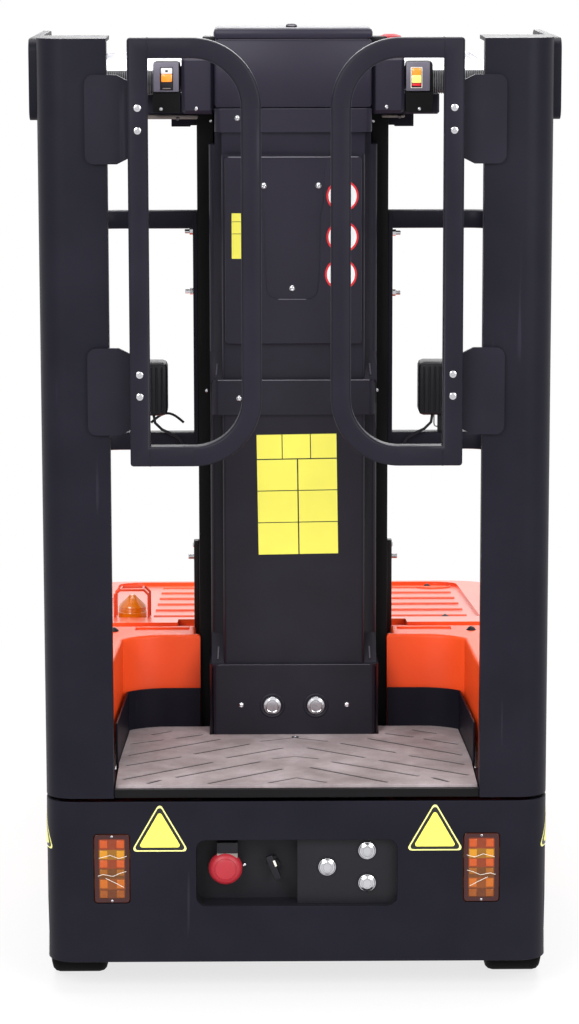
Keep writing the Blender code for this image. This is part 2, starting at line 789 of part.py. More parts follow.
def make_stage(name, level, low, high, cross_members):
    outer_x, back, depth = stage_section(level)
    left = plate(name, channel_outline(outer_x, back, depth, stage_wall, flange_wall, -1), low, high, "Z")
    pieces = [plate(f"{name}_right", channel_outline(outer_x, back, depth, stage_wall, flange_wall, 1), low, high, "Z")]
    face = back + depth
    for number, (bottom, top) in enumerate(cross_members):
        pieces.append(box(f"{name}_cross_{number}", (-flange_end_x - 0.002, face - flange_wall, bottom),
                          (flange_end_x + 0.002, face, top)))
    return left, pieces


def upright_rod(name, radius, low, high, sides):
    return rod(name, (0, cylinder_y, (low + high) / 2), radius, high - low, "Z", sides)


def make_mast():
    outer, pieces = make_stage(
        "mast_outer", 0, mast_bottom, mast_top, ((mast_bottom, 0.22), (0.72, 0.80), (1.26, 1.32)))
    pieces.append(box("mast_foot", (-0.150, mast_back, mast_bottom), (0.150, seat_cross_y - seat_gap, foot_top)))
    fuse(outer, pieces)
    finished(outer, "black_paint")

    stage_bottom, stage_top = foot_top + seat_gap, 1.350
    middle, pieces = make_stage("mast_middle", 1, stage_bottom, stage_top, ((0.13, 0.19), (1.325, stage_top)))
    back, depth = stage_section(1)[1:]
    pieces.append(box("rod_bridge", (-0.035, back + depth - 0.005, rod_top + seat_gap),
                      (0.035, cylinder_y + 0.028, stage_top)))
    fuse(middle, pieces)
    finished(middle, "black_paint")

    inner, pieces = make_stage("mast_inner", 2, stage_bottom, stage_top, ((0.13, 0.19), (1.30, stage_top)))
    fuse(inner, pieces)
    finished(inner, "black_paint")

    barrel = upright_rod("lift_cylinder", cylinder_radius, foot_top + seat_gap, cylinder_top, 28)
    carve(barrel, [upright_rod("cylinder_bore", rod_radius + 0.002, rod_bottom - 0.010, cylinder_top + 0.05, 28)])
    finished(barrel, "black_paint")
    finished(upright_rod("lift_rod", rod_radius, rod_bottom, rod_top, 24), "bright_steel")


# Platform, lifted by the innermost stage
def make_platform_floor():
    floor_top = floor_bottom + floor_thickness
    post_edge = post_inner_x - seat_gap
    toe_step = moving_gap + toe_wall + seat_gap
    edge = [(post_edge, rear + 0.003), (post_edge, rear + post_depth)] + inner_wall_path(1, toe_step)[::-1]
    edge += [(tongue_half_width, edge[-1][1]), (tongue_half_width, frame_upright_y[1])]
    outline = edge + mirrored(edge[::-1], -1)
    floor = plate("platform_floor", outline, floor_bottom, floor_top, "Z")
    pieces = [box("floor_lip", (-post_edge, rear + 0.003, floor_bottom), (post_edge, rear + 0.0125, floor_top + 0.003))]
    for name, side in sides:
        near, far = sorted((side * frame_upright_x[0], side * frame_upright_x[1]))
        pieces.append(box(f"upright_{name}", (near, frame_upright_y[0], floor_bottom),
                          (far, frame_upright_y[1], upright_top)))
        shoe_near, shoe_far = sorted((side * 0.082, side * 0.094))
        pieces.append(box(f"carriage_web_{name}", (shoe_near, frame_upright_y[1] - 0.010, foot_top + seat_gap),
                          (shoe_far, rear + 0.535, 0.560)))
        outer_x, back, depth = stage_section(2)
        shoe_end = sorted((side * 0.090, side * (outer_x - stage_wall - stage_gap)))
        pieces.append(box(f"carriage_shoe_{name}", (shoe_end[0], back + flange_wall + stage_gap, 0.205),
                          (shoe_end[1], back + depth - flange_wall - stage_gap, 0.560)))
    for number, (low, high) in enumerate(((0.205, 0.330), (0.500, 0.560), (0.830, 0.870), (1.240, upright_top))):
        pieces.append(box(f"carriage_cross_{number}", (-0.140, frame_upright_y[0] + 0.010, low),
                          (0.140, frame_upright_y[1], high)))
    fuse(floor, pieces)
    return finished(floor, "black_paint")


def make_floor_mat():
    low = floor_bottom + floor_thickness + seat_gap
    toe_step = moving_gap + toe_wall + seat_gap + 0.001
    wall = inner_wall_path(1, toe_step)
    edge = [(mat_half_width, mat_back), (mat_half_width, rear + post_depth)] + wall[::-1]
    notch = 0.1345
    edge += [(notch, wall[0][1]), (notch, console_face - 0.0005)]
    mat = plate("floor_mat", edge + mirrored(edge[::-1], -1), low, low + mat_thickness, "Z")
    return finished(mat, "mat_rubber")


def make_toe_board(name, side):
    path = inner_wall_path(side, moving_gap)
    board = bent_sheet(f"toe_board_{name}", path, floor_bottom, floor_bottom + toe_height, toe_wall, side < 0)
    return finished(board, "black_paint")


def post_path(side):
    """The post in plan: inner return, rear face, outer corner, side face."""
    radius = post_corner
    path = [(post_inner_x, rear + post_return), (post_inner_x, rear + 0.0)]
    path += arc((half_width - radius, rear + radius), radius, 270, 360)
    path += [(half_width, rear + post_depth)]
    return mirrored(path, side)


def make_post(name, side):
    post = bent_sheet(f"post_{name}", post_path(side), floor_bottom, post_top, post_wall, side > 0)
    pieces = []
    for number, (low, high) in enumerate(((floor_bottom, floor_bottom + 0.010), (post_top - 0.006, post_top))):
        cap = [(post_inner_x + 0.001, rear + 0.001)] + arc(
            (half_width - post_corner, rear + post_corner), post_corner - 0.001, 270, 360)
        cap += [(half_width - 0.001, rear + post_depth), (post_inner_x + 0.001, rear + post_depth)]
        pieces.append(plate(f"post_cap_{name}_{number}", mirrored(cap, side), low, high, "Z"))
    for number, z in enumerate(hinge_levels):
        leaf = sorted((side * (post_inner_x + 0.002), side * (hinge_x + 0.001)))
        pieces.append(box(f"post_leaf_{name}_{number}", (leaf[0], hinge_y - 0.0025, z - 0.018),
                          (leaf[1], hinge_y + 0.0025, z + 0.018)))
        pieces.append(rod(f"post_knuckle_{name}_{number}", (side * hinge_x, hinge_y, z), hinge_radius, 0.036, "Z", 12))
    fuse(post, pieces)
    return finished(post, "black_paint")


def make_side_panel(name, side):
    outline = rounded_outline(rectangle(rear + 0.055, 1.305, rear + 0.440, 1.4235, 0.018))
    near, far = sorted((side * (half_width + seat_gap), side * (half_width + 0.0125)))
    panel = plate(f"side_panel_{name}", outline, near, far, "X")
    return finished(panel, "black_plastic")


def make_guard_rail(name, side):
    section = bar_profile(f"rail_section_{name}", rail_size, rail_size, 0.004)
    run_x = 0.325
    inner_x = frame_upright_x[1] + seat_gap
    cross_y = rear + 0.440
    bend = 0.050
    path = [(run_x, rear + 0.100)] + arc((run_x - bend, cross_y - bend), bend, 0, 90) + [(inner_x, cross_y)]
    bars = [rail(f"guard_rail_{name}_{word}", mirrored(path, side), section, "Z", z) for word, z in rail_levels]
    strip_near, strip_far = sorted((side * inner_x, side * (inner_x + 0.007)))
    pieces = [
        bars[1],
        box("rail_strip", (strip_near, rear + 0.425, rail_levels[1][1]),
            (strip_far, rear + 0.452, rail_levels[0][1] + 0.01)),
    ]
    near, far = sorted((side * run_x, side * (half_width - post_wall - seat_gap)))
    for word, z in rail_levels:
        pieces.append(box(f"rail_block_{word}", (near, rear + 0.103, z - 0.011), (far, rear + 0.133, z + 0.011)))
    base = bars[0]
    base.name = f"guard_rail_{name}"
    fuse(base, pieces)
    return finished(base, "black_paint")


def make_mast_cover():
    back, wall = mast_cover_back, mast_cover_wall
    floor_top = floor_bottom + floor_thickness + seat_gap
    blocks = []
    hollows = []
    # Blocks of the cover: half width, rear face, corner radius, low, high, hollow inside or not
    for name, half, face, radius, low, high, hollow in (
        ("mast_cover", 0.1335, 0.335, 0.016, floor_top, 0.432, True),
        ("long_panel", 0.111, 0.347, 0.005, 0.400, 1.250, True),
        ("side_flanges", 0.131, 0.380, 0.008, 0.401, 1.249, True),
        ("band_low", 0.1265, 0.337, 0.010, 0.831, 0.886, False),
        ("band_high", 0.1215, 0.337, 0.010, 1.236, 1.3067, False),
    ):
        face += rear
        outline = rounded_outline([
            (-half, back, 0.0), (-half, face, radius), (half, face, radius), (half, back, 0.0)])
        blocks.append(plate(name, outline, low, high, "Z"))
        if hollow:
            hollows.append(box(f"{name}_hollow", (-half + wall, face + wall, floor_top - 0.01),
                               (half - wall, back + 0.02, high - wall)))
    # Scoops: sloping steps beside the long panel, above the foot box and above the low band
    for top, bottom in ((0.475, 0.431), (0.925, 0.886)):
        outline = [(rear + 0.3805, top), (rear + 0.350, bottom), (rear + 0.350, bottom - 0.006),
                   (back - 0.002, bottom - 0.006), (back - 0.002, top)]
        blocks.append(plate("scoop", outline, -0.1305, 0.1305, "X"))
    cover = fuse(blocks[0], blocks[1:])
    carve(cover, hollows)
    return finished(cover, "black_paint")


def make_cover_panel():
    outline = rounded_outline(rectangle(-0.106, 0.942, 0.106, 1.233, 0.006))
    panel = plate("cover_panel", outline, rear + 0.338, rear + 0.347 - seat_gap, "Y")
    return finished(panel, "black_paint")


def make_console():
    console = box("console", (-0.121, console_face, 1.307), (0.121, rear + 0.450, 1.4135), 0.006, 2)
    cap = box("console_cap", (-0.122, console_face - 0.002, 1.4125), (0.122, rear + 0.455, console_top), 0.006, 2)
    knob = turned("cap_knob", (-0.0018, rear + 0.400, console_top - 0.002), [
        (0.0, 0.0075), (0.006, 0.0068), (0.0085, 0.005), (0.0085, 0.0), (0.0, 0.0)], "Z", 20)
    pieces = [cap, knob]
    # Blocks on both sides of the console: near x, far x, rear face, front face, low, high, rounding
    for word, near_x, far_x, back, ahead, low, high, rounding in (
        ("lower_wing", 0.1222, 0.172, 0.352, 0.4195, 1.298, 1.3845, 0.005),
        ("upper_wing", 0.115, 0.172, 0.372, 0.440, 1.312, 1.4045, 0.005),
        ("beam", 0.1225, 0.228, 0.395, 0.4192, 1.2945, 1.328, 0.003),
    ):
        for name, side in sides:
            near, far = sorted((side * near_x, side * far_x))
            pieces.append(box(f"console_{word}_{name}", (near, rear + back, low), (far, rear + ahead, high), rounding, 1))
    fuse(console, pieces)
    return finished(console, "black_paint")


def make_console_stop():
    profile = [(0.0, 0.0138), (0.010, 0.0132), (0.0165, 0.0105), (0.0185, 0.0065), (0.018, 0.0045),
               (0.010, 0.0035), (0.010, 0.0), (0.0, 0.0)]
    stop = turned("console_stop", (0.1515, rear + 0.400, 1.4045 + seat_gap), profile, "Z", 24)
    return finished(stop, "red_plastic")


def make_handle(name, side):
    grip_y, grip_z = rear + 0.377, 1.3455
    near, far = sorted((side * 0.1738, side * 0.2155))
    block = box(f"handle_{name}", (near, rear + 0.352, 1.3306), (far, rear + 0.392, 1.378), 0.005, 2)
    body_near, body_far = sorted((side * 0.1738, side * 0.2165))
    body = box("handle_body", (body_near, rear + 0.357, 1.2995), (body_far, rear + 0.3945, 1.333))
    grip = rod("grip", (side * 0.290, grip_y, grip_z), 0.0175, 0.150, "X", 24)
    boss = rod("grip_boss", (side * 0.368, grip_y, grip_z), 0.022, 0.0134, "X", 24)
    neck_near, neck_far = sorted((side * 0.1723, side * 0.190))
    neck = box("handle_neck", (neck_near, rear + 0.362, 1.340), (neck_far, rear + 0.390, 1.370))
    fuse(block, [body, grip, boss, neck])
    return finished(block, "black_plastic")


def make_load_tray():
    tray = box("load_tray", (-tray_half_width, tray_back, tray_z), (tray_half_width, tray_front, tray_z + tray_height))
    inner = tray_half_width - tray_wall
    carve(tray, [box("tray_space", (-inner, tray_back - 0.01, tray_z + tray_wall),
                     (inner, tray_front - tray_wall, tray_z + tray_height + 0.01))])
    return finished(tray, "tray_metal")


def make_tray_support():
    arm_low, arm_high = 1.3045, tray_z - seat_gap
    base = box("tray_support", (-0.250, rear + 0.700, 1.273), (0.193, rear + 0.745, 1.303))
    pieces = []
    for name, side in sides:
        near, far = sorted((side * 0.160, side * 0.190))
        pieces.append(box(f"tray_arm_{name}", (near, rear + 0.4405, 1.273), (far, rear + 0.745, 1.303)))
        foot_near, foot_far = sorted((side * (frame_upright_x[1] + seat_gap), side * 0.165))
        pieces.append(box(f"tray_foot_{name}", (foot_near, rear + 0.4405, 1.275), (foot_far, rear + 0.455, 1.300)))
        pieces.append(box(f"tray_bearer_{name}", (near, rear + 0.700, 1.273), (far, rear + 1.19, arm_high)))
    fuse(base, pieces)
    return finished(base, "tray_metal")


def make_work_lamp(name, side):
    near, far = sorted((side * 0.199, side * 0.285))
    low = rail_levels[1][1] + rail_size / 2 + 0.012
    lamp = box(f"work_lamp_{name}", (near, rear + 0.420, low + 0.015), (far, rear + 0.475, low + 0.100), 0.008, 2)
    stem = box("lamp_stem", (side * 0.242 - 0.012, rear + 0.434, low - 0.012 + seat_gap),
               (side * 0.242 + 0.012, rear + 0.446, low + 0.02))
    points = [(0.222, rear + 0.430, low + 0.020), (0.219, rear + 0.424, low + 0.004), (0.208, rear + 0.420, low - 0.006),
              (0.196, rear + 0.417, low - 0.011), (0.180, rear + 0.416, low - 0.020), (0.172, rear + 0.418, low - 0.034),
              (0.170, rear + 0.422, low - 0.048)]
    lead = wire("lamp_lead", mirrored(points, side), 0.0025)
    fuse(lamp, [stem, lead])
    return finished(lamp, "black_plastic")


# Gates: a bent tube, the stop plates between it and the post, and the hinge knuckles on those
def make_gate(name, side):
    half = gate_tube / 2
    low, high = gate_bottom + half, gate_top - half
    outer, inner = gate_outer_x - half, gate_inner_x + half
    bend = gate_bend
    section = bar_profile(f"gate_section_{name}", gate_tube, gate_tube, 0.004)
    path = [(outer, high)] + arc((inner + bend, high - bend), bend, 90, 180, 7)
    path += arc((inner + bend, low + bend), bend, 180, 270, 7) + [(outer, low)]
    tube_back = -truck_length / 2
    loop = rail(f"gate_{name}", mirrored(path, side), section, "Y", tube_back + half)
    near, far = sorted((side * (outer - half), side * (outer + half)))
    pieces = [box("gate_upright", (near, tube_back, gate_bottom), (far, tube_back + gate_tube, gate_top), 0.004, 2)]
    plate_back = tube_back + gate_tube
    for number, level in enumerate(hinge_levels):
        plate_low, plate_high = level - 0.064, level + 0.064
        outline = rounded_outline([
            (outer, plate_low + 0.009, 0.0), (0.240, plate_low + 0.009, 0.0), (0.258, plate_low, 0.003),
            (0.304, plate_low, 0.013), (0.304, plate_high, 0.013), (0.258, plate_high, 0.003),
            (0.240, plate_high - 0.009, 0.0), (outer, plate_high - 0.009, 0.0)])
        pieces.append(plate("stop_plate", mirrored(outline, side), plate_back - 0.0005, plate_back + stop_plate, "Y"))
        for end in (-1, 1):
            centre = level + end * 0.033
            pieces.append(rod("gate_knuckle", (side * hinge_x, hinge_y, centre), hinge_radius, 0.028, "Z", 12))
            near, far = sorted((side * (hinge_x - 0.003), side * (hinge_x + 0.003)))
            pieces.append(box("gate_leaf", (near, plate_back + 0.002, centre - 0.014), (far, hinge_y, centre + 0.014)))
    fuse(loop, pieces)
    return finished(loop, "black_paint")


# Beacon and its wire guard, which stand on the recess in the hood
def make_beacon():
    seat = hood_height(beacon_y - beacon_base, recess_depth) + seat_gap
    profile = [(0.0, 0.0405), (0.004, 0.040), (0.0222, 0.0225), (0.023, 0.0195), (0.023, 0.012),
               (beacon_base, 0.011), (beacon_base, 0.0), (0.0, 0.0)]
    beacon = turned("beacon", (beacon_x, beacon_y, seat), profile, "Z", 28)
    return finished(beacon, "amber_lens")


def make_beacon_guard():
    shoulder = 0.008
    ends = []
    for y in (beacon_y - guard_half_y, beacon_y + guard_half_y):
        ends.append((y, hood_height(y, recess_depth) + guard_wire_radius * 1.01 + seat_gap))
    frames = []
    for y, seat in ends:
        top = seat + guard_height
        right = [(guard_half_x, seat - 0.001), (guard_half_x, top - shoulder), (guard_half_x - shoulder, top)]
        points = [(beacon_x + x, y, z) for x, z in right + mirrored(right[::-1], -1)]
        frames.append(wire("beacon_guard", points, guard_wire_radius))
    links = []
    for side in (-1, 1):
        for reach, rise in ((guard_half_x, 0.0), (guard_half_x * 0.65, guard_height)):
            x = beacon_x + side * reach
            links.append(wire("guard_link", [(x, y, seat + rise) for y, seat in ends], guard_wire_radius))
    fuse(frames[0], frames[1:] + links)
    return finished(frames[0], "orange_cover")


make_base_frame()
make_rear_skirt()
make_control_pocket()
make_emergency_stop()
make_hood()
make_battery()
make_mast()
make_platform_floor()
make_floor_mat()
make_mast_cover()
make_cover_panel()
make_console()
make_console_stop()
make_load_tray()
make_tray_support()
make_beacon()
make_beacon_guard()
for side_name, side_sign in sides:
    make_amber_lamp(side_name, side_sign)
    make_drive_wheel(side_name, side_sign)
    make_drive_unit(side_name, side_sign)
    make_caster(side_name, side_sign)
    make_side_cover(side_name, side_sign)
    make_toe_board(side_name, side_sign)
    make_post(side_name, side_sign)
    make_side_panel(side_name, side_sign)
    make_guard_rail(side_name, side_sign)
    make_handle(side_name, side_sign)
    make_work_lamp(side_name, side_sign)
    make_gate(side_name, side_sign)
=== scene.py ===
import math
import bpy
import bmesh
from mathutils import Matrix, Vector


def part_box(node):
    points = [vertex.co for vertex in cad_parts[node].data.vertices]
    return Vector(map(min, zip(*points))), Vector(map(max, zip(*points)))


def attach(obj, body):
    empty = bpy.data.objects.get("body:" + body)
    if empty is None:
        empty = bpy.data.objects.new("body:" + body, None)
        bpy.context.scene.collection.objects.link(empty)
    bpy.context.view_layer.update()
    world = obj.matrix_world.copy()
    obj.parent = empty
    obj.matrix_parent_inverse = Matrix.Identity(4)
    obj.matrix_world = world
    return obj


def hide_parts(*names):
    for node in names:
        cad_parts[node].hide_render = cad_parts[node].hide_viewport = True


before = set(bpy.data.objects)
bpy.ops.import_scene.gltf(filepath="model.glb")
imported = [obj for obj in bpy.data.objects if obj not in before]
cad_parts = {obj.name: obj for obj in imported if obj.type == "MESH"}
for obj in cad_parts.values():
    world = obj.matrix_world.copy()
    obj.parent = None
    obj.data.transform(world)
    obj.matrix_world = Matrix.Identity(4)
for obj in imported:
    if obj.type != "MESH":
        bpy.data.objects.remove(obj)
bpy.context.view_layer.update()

# Low-level order picker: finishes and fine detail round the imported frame.
# Metres, +Y towards the hood, +Z up; the operator stands at the low end of Y.

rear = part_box("rear_skirt")[0].y          # rear face of the skirt and of the posts
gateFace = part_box("gate_left")[0].y       # rear face of the gates, the rearmost of all
sides = (("left", -1), ("right", 1))
backwards = (0, -1, 0)
upwards = (0, 0, 1)
weldDistance = 0.00001                    # points nearer than this are one point


# The camera, the light and the floor

cameraView = {"place": (-0.0571, -5.6657, 1.5973), "pitchDown": 9.872, "yawRight": 0.545,
              "roll": -0.101, "focalLength": 120.27, "filmSize": 36.0}
lampTable = (      # name, place, aims at, width, height, watts
    ("keyLamp", (-2.2, -4.8, 3.2), (0.0, 0.0, 0.7), 2.4, 2.4, 185.0),
    ("fillLamp", (2.6, -4.4, 2.4), (0.0, 0.0, 0.6), 2.4, 2.4, 125.0),
    ("topLamp", (0.0, 0.3, 4.4), (0.0, 0.0, 0.0), 3.2, 3.2, 130.0),
    ("backLamp", (0.5, 4.0, 2.8), (0.0, 0.0, 0.7), 2.6, 2.0, 60.0),
)


def placeCamera():
    camera = sceneObject("camera", bpy.data.cameras.new("camera"))
    camera.data.lens = cameraView["focalLength"]
    camera.data.sensor_width = cameraView["filmSize"]
    camera.data.clip_end = 200.0
    turn = (Matrix.Rotation(math.radians(-cameraView["yawRight"]), 4, "Z")
            @ Matrix.Rotation(math.radians(90.0 - cameraView["pitchDown"]), 4, "X")
            @ Matrix.Rotation(math.radians(cameraView["roll"]), 4, "Z"))
    camera.matrix_world = Matrix.Translation(cameraView["place"]) @ turn
    bpy.context.scene.camera = camera


def lightTheScene():
    for name, place, aim, width, height, watts in lampTable:
        light = bpy.data.lights.new(name, "AREA")
        light.shape = "RECTANGLE"
        light.size = width
        light.size_y = height
        light.energy = watts
        lamp = sceneObject(name, light)
        lamp.location = place
        lamp.rotation_euler = (Vector(aim) - Vector(place)).to_track_quat("-Z", "Y").to_euler()


# Shader maths: a wire is a socket that can be written as ordinary arithmetic

class Wire:
    def __init__(self, finish, socket):
        self.finish = finish
        self.socket = socket

    def maths(self, operation, *values):
        return self.finish.node("ShaderNodeMath", {"operation": operation}, dict(enumerate(values)))

    def __add__(self, other):
        return self.maths("ADD", self, other)

    def __radd__(self, other):
        return self.maths("ADD", other, self)

    def __sub__(self, other):
        return self.maths("SUBTRACT", self, other)

    def __rsub__(self, other):
        return self.maths("SUBTRACT", other, self)

    def __mul__(self, other):
        return self.maths("MULTIPLY", self, other)

    def __rmul__(self, other):
        return self.maths("MULTIPLY", other, self)

    def __truediv__(self, other):
        return self.maths("DIVIDE", self, other)

    def __rtruediv__(self, other):
        return self.maths("DIVIDE", other, self)

    def __lt__(self, other):
        return self.maths("LESS_THAN", self, other)

    def __gt__(self, other):
        return self.maths("GREATER_THAN", self, other)

    def clamped(self):
        return self.maths("MINIMUM", self.maths("MAXIMUM", self, 0.0), 1.0)

    def part(self, axis):
        split = self.finish.tree.nodes.new("ShaderNodeSeparateXYZ")
        self.finish.tree.links.new(self.socket, split.inputs[0])
        return Wire(self.finish, split.outputs[axis])


class Finish:
    def __init__(self, name, colour, roughness=0.5, metallic=0.0, specular=0.5):
        self.material = bpy.data.materials.new(name)
        self.material.use_nodes = True
        self.tree = self.material.node_tree
        self.shader = self.tree.nodes["Principled BSDF"]
        self.output = self.tree.nodes["Material Output"]
        self.set("Base Color", (*colour, 1.0))
        self.set("Roughness", roughness)
        self.set("Metallic", metallic)
        self.set("Specular IOR Level", specular)
        self.place = self.node("ShaderNodeTexCoord", {}, {}, "Object")
        self.material.diffuse_color = (*colour, 1.0)

    def node(self, kind, settings, values, result=0):
        made = self.tree.nodes.new(kind)
        for key, value in settings.items():
            if key == "stops":
                ramp = made.color_ramp
                while len(ramp.elements) < len(value):
                    ramp.elements.new(1.0)
                for element, (position, tint) in zip(ramp.elements, value):
                    element.position = position
                    element.color = (*tint, 1.0) if isinstance(tint, tuple) else (tint, tint, tint, 1.0)
            else:
                setattr(made, key, value)
        for key, value in values.items():
            if isinstance(value, Wire):
                self.tree.links.new(value.socket, made.inputs[key])
            else:
                made.inputs[key].default_value = value
        return Wire(self, made.outputs[result])

    def set(self, name, value):
        if isinstance(value, Wire):
            self.tree.links.new(value.socket, self.shader.inputs[name])
        else:
            self.shader.inputs[name].default_value = value
        return self

    def noise(self, scale, detail=2.0, stretch=(1.0, 1.0, 1.0), roughness=0.5):
        place = self.place
        if stretch != (1.0, 1.0, 1.0):
            place = self.node("ShaderNodeMapping", {}, {"Vector": self.place, "Scale": stretch})
        return self.node("ShaderNodeTexNoise", {}, {
            "Vector": place, "Scale": scale, "Detail": detail, "Roughness": roughness})

    def ramp(self, factor, *stops):
        return self.node("ShaderNodeValToRGB", {"stops": stops}, {0: factor})

    def blend(self, factor, first, second):
        def colour(value):
            return value if isinstance(value, Wire) else (*value, 1.0)
        return self.node("ShaderNodeMix", {"data_type": "RGBA"}, {
            "Factor": factor, 6: colour(first), 7: colour(second)}, 2)

    def bump(self, height, strength, depth):
        return self.set("Normal", self.node("ShaderNodeBump", {}, {
            "Height": height, "Strength": strength, "Distance": depth}))


def powderCoat(name, colour, roughness, specular, peel=0.25):
    # satin powder coat: a fine orange peel, handling marks and a few pale scratches
    coat = Finish(name, colour, specular=specular)
    marks = coat.noise(9.0, 4.0)
    dust = coat.noise(55.0, 3.0)
    scratches = coat.noise(60.0, 2.0, (1.0, 1.0, 0.06))
    scratch = coat.ramp(scratches, (0.71, 0.0), (0.76, 1.0)) * 0.25
    tint = coat.blend((marks - 0.35) * 1.2, colour, tuple(c * 1.45 + 0.002 for c in colour))
    coat.set("Base Color", coat.blend(scratch, tint, tuple(c * 2.5 + 0.02 for c in colour)))
    coat.set("Roughness", marks * 0.16 + dust * 0.08 + (roughness - 0.12))
    coat.bump(coat.noise(620.0, 1.0), peel, 0.0002)
    return coat.material


def mouldedPlastic(name, colour, roughness, specular, grain=0.35):
    # injection moulding with a fine leather-like grain
    plastic = Finish(name, colour, specular=specular)
    cells = plastic.node("ShaderNodeTexVoronoi", {}, {"Vector": plastic.place, "Scale": 900.0})
    cloud = plastic.noise(14.0, 3.0)
    plastic.set("Base Color", plastic.blend(cloud, colour, tuple(c * 1.5 + 0.001 for c in colour)))
    plastic.set("Roughness", cloud * 0.14 + (roughness - 0.07))
    plastic.bump(cells, grain, 0.0003)
    return plastic.material


def upwardGreyingPlastic(name, low, high, foot, head):
    # black moulding that greys from the first height to the second
    plastic = Finish(name, high, specular=0.2)
    share = ((plastic.place.part(2) - foot) * (1.0 / (head - foot))).clamped()
    cloud = plastic.noise(14.0, 3.0)
    tint = plastic.blend(share, low, high)
    plastic.set("Base Color", plastic.blend(cloud * 0.5, tint, tuple(c * 1.3 for c in high)))
    plastic.set("Roughness", cloud * 0.14 + 0.34)
    cells = plastic.node("ShaderNodeTexVoronoi", {}, {"Vector": plastic.place, "Scale": 900.0})
    plastic.bump(cells, 0.2, 0.0003)
    return plastic.material


def glossCover(name, colour, roughness=0.34, specular=0.3, coat=0.1):
    # coloured moulding with a slow waviness and faint dust
    cover = Finish(name, colour, specular=specular)
    wave = cover.noise(5.0, 1.0)
    dust = cover.noise(70.0, 5.0)
    pale = tuple(min(1.0, c * 1.03 + 0.006) for c in colour)
    deep = tuple(c * 0.86 for c in colour)
    cover.set("Base Color", cover.blend(cover.ramp(wave, (0.3, 0.0), (0.7, 1.0)), deep, pale))
    cover.set("Roughness", dust * 0.05 + (roughness - 0.025))
    cover.set("Coat Weight", coat)
    cover.set("Coat Roughness", 0.18)
    cover.bump(cover.noise(160.0, 1.0), 0.05, 0.0003)
    return cover.material


def brushedMetal(name, colour, roughness, stretch=(1.0, 1.0, 0.03), metallic=1.0):
    metal = Finish(name, colour, metallic=metallic)
    lines = metal.noise(900.0, 2.0, stretch)
    cloud = metal.noise(18.0, 3.0)
    metal.set("Base Color", metal.blend(cloud, tuple(c * 0.8 for c in colour), colour))
    metal.set("Roughness", lines * 0.18 + cloud * 0.12 + (roughness - 0.15))
    metal.bump(lines, 0.15, 0.0002)
    return metal.material


def wornRubber(name, colour, pale, roughness, blotch=24.0, specular=0.3):
    # rubber that feet or floors have polished and dusted
    rubber = Finish(name, colour, specular=specular)
    cloud = rubber.noise(blotch, 6.0, roughness=0.65)
    speck = rubber.noise(420.0, 2.0)
    worn = rubber.ramp(cloud, (0.34, 0.0), (0.66, 1.0))
    tint = rubber.blend(worn, colour, pale)
    rubber.set("Base Color", rubber.blend(speck * 0.3, tint, tuple(c * 0.5 for c in colour)))
    rubber.set("Roughness", cloud * 0.25 + (roughness - 0.12))
    rubber.bump(speck * 0.7 + cloud * 0.3, 0.5, 0.0006)
    return rubber.material


def clearPlastic(name, colour, glow=0.0, roughness=0.12):
    # tinted lens: the colour deepens in slow clouds, as a ribbed inside does
    lens = Finish(name, colour, roughness=roughness, specular=0.6)
    cloud = lens.noise(60.0, 2.0)
    tint = lens.blend(cloud, tuple(c * 0.7 for c in colour), colour)
    lens.set("Base Color", tint)
    lens.set("Coat Weight", 0.6)
    if glow:
        lens.set("Emission Color", tint)
        lens.set("Emission Strength", glow)
    return lens.material


def signPaint(name, colour):
    # printed sheet under a clear film, with the slightest fading
    sheet = Finish(name, colour, specular=0.4)
    fade = sheet.noise(30.0, 4.0)
    sheet.set("Base Color", sheet.blend(fade, tuple(c * 0.92 for c in colour), colour))
    sheet.set("Roughness", fade * 0.1 + 0.28)
    return sheet.material


lampRows = {"glow": 0.10, "colours": (      # top of each band of colour, from below
    (0.1625, (0.40, 0.075, 0.006)), (0.1790, (0.78, 0.17, 0.010)), (0.1945, (0.42, 0.12, 0.006)),
    (0.2085, (0.82, 0.095, 0.014)), (0.2235, (1.0, 0.42, 0.012)), (0.2400, (0.80, 0.085, 0.012)),
    (0.2470, (0.30, 0.04, 0.01)))}


def lampLens(name, depth):
    # marker lamp: the reflector's rows give every band of the lens its own amber
    lens = Finish(name, lampRows["colours"][1][1], roughness=0.14, specular=0.3)
    height = lens.place.part(2)
    cloud = lens.noise(220.0, 2.0)
    tint = None
    for top, colour in lampRows["colours"]:
        colour = tuple(c * depth for c in colour)
        if tint is not None:
            tint = lens.blend(height > edge, tint, colour)
        else:
            tint = lens.blend(cloud * 0.3, colour, tuple(c * 0.6 for c in colour))
        edge = top
    tint = lens.blend(cloud * 0.35, tint, (0.9 * depth, 0.35 * depth, 0.03))
    lens.set("Base Color", tint)
    lens.set("Emission Color", tint)
    lens.set("Emission Strength", lampRows["glow"])
    lens.set("Coat Weight", 0.15)
    return lens.material


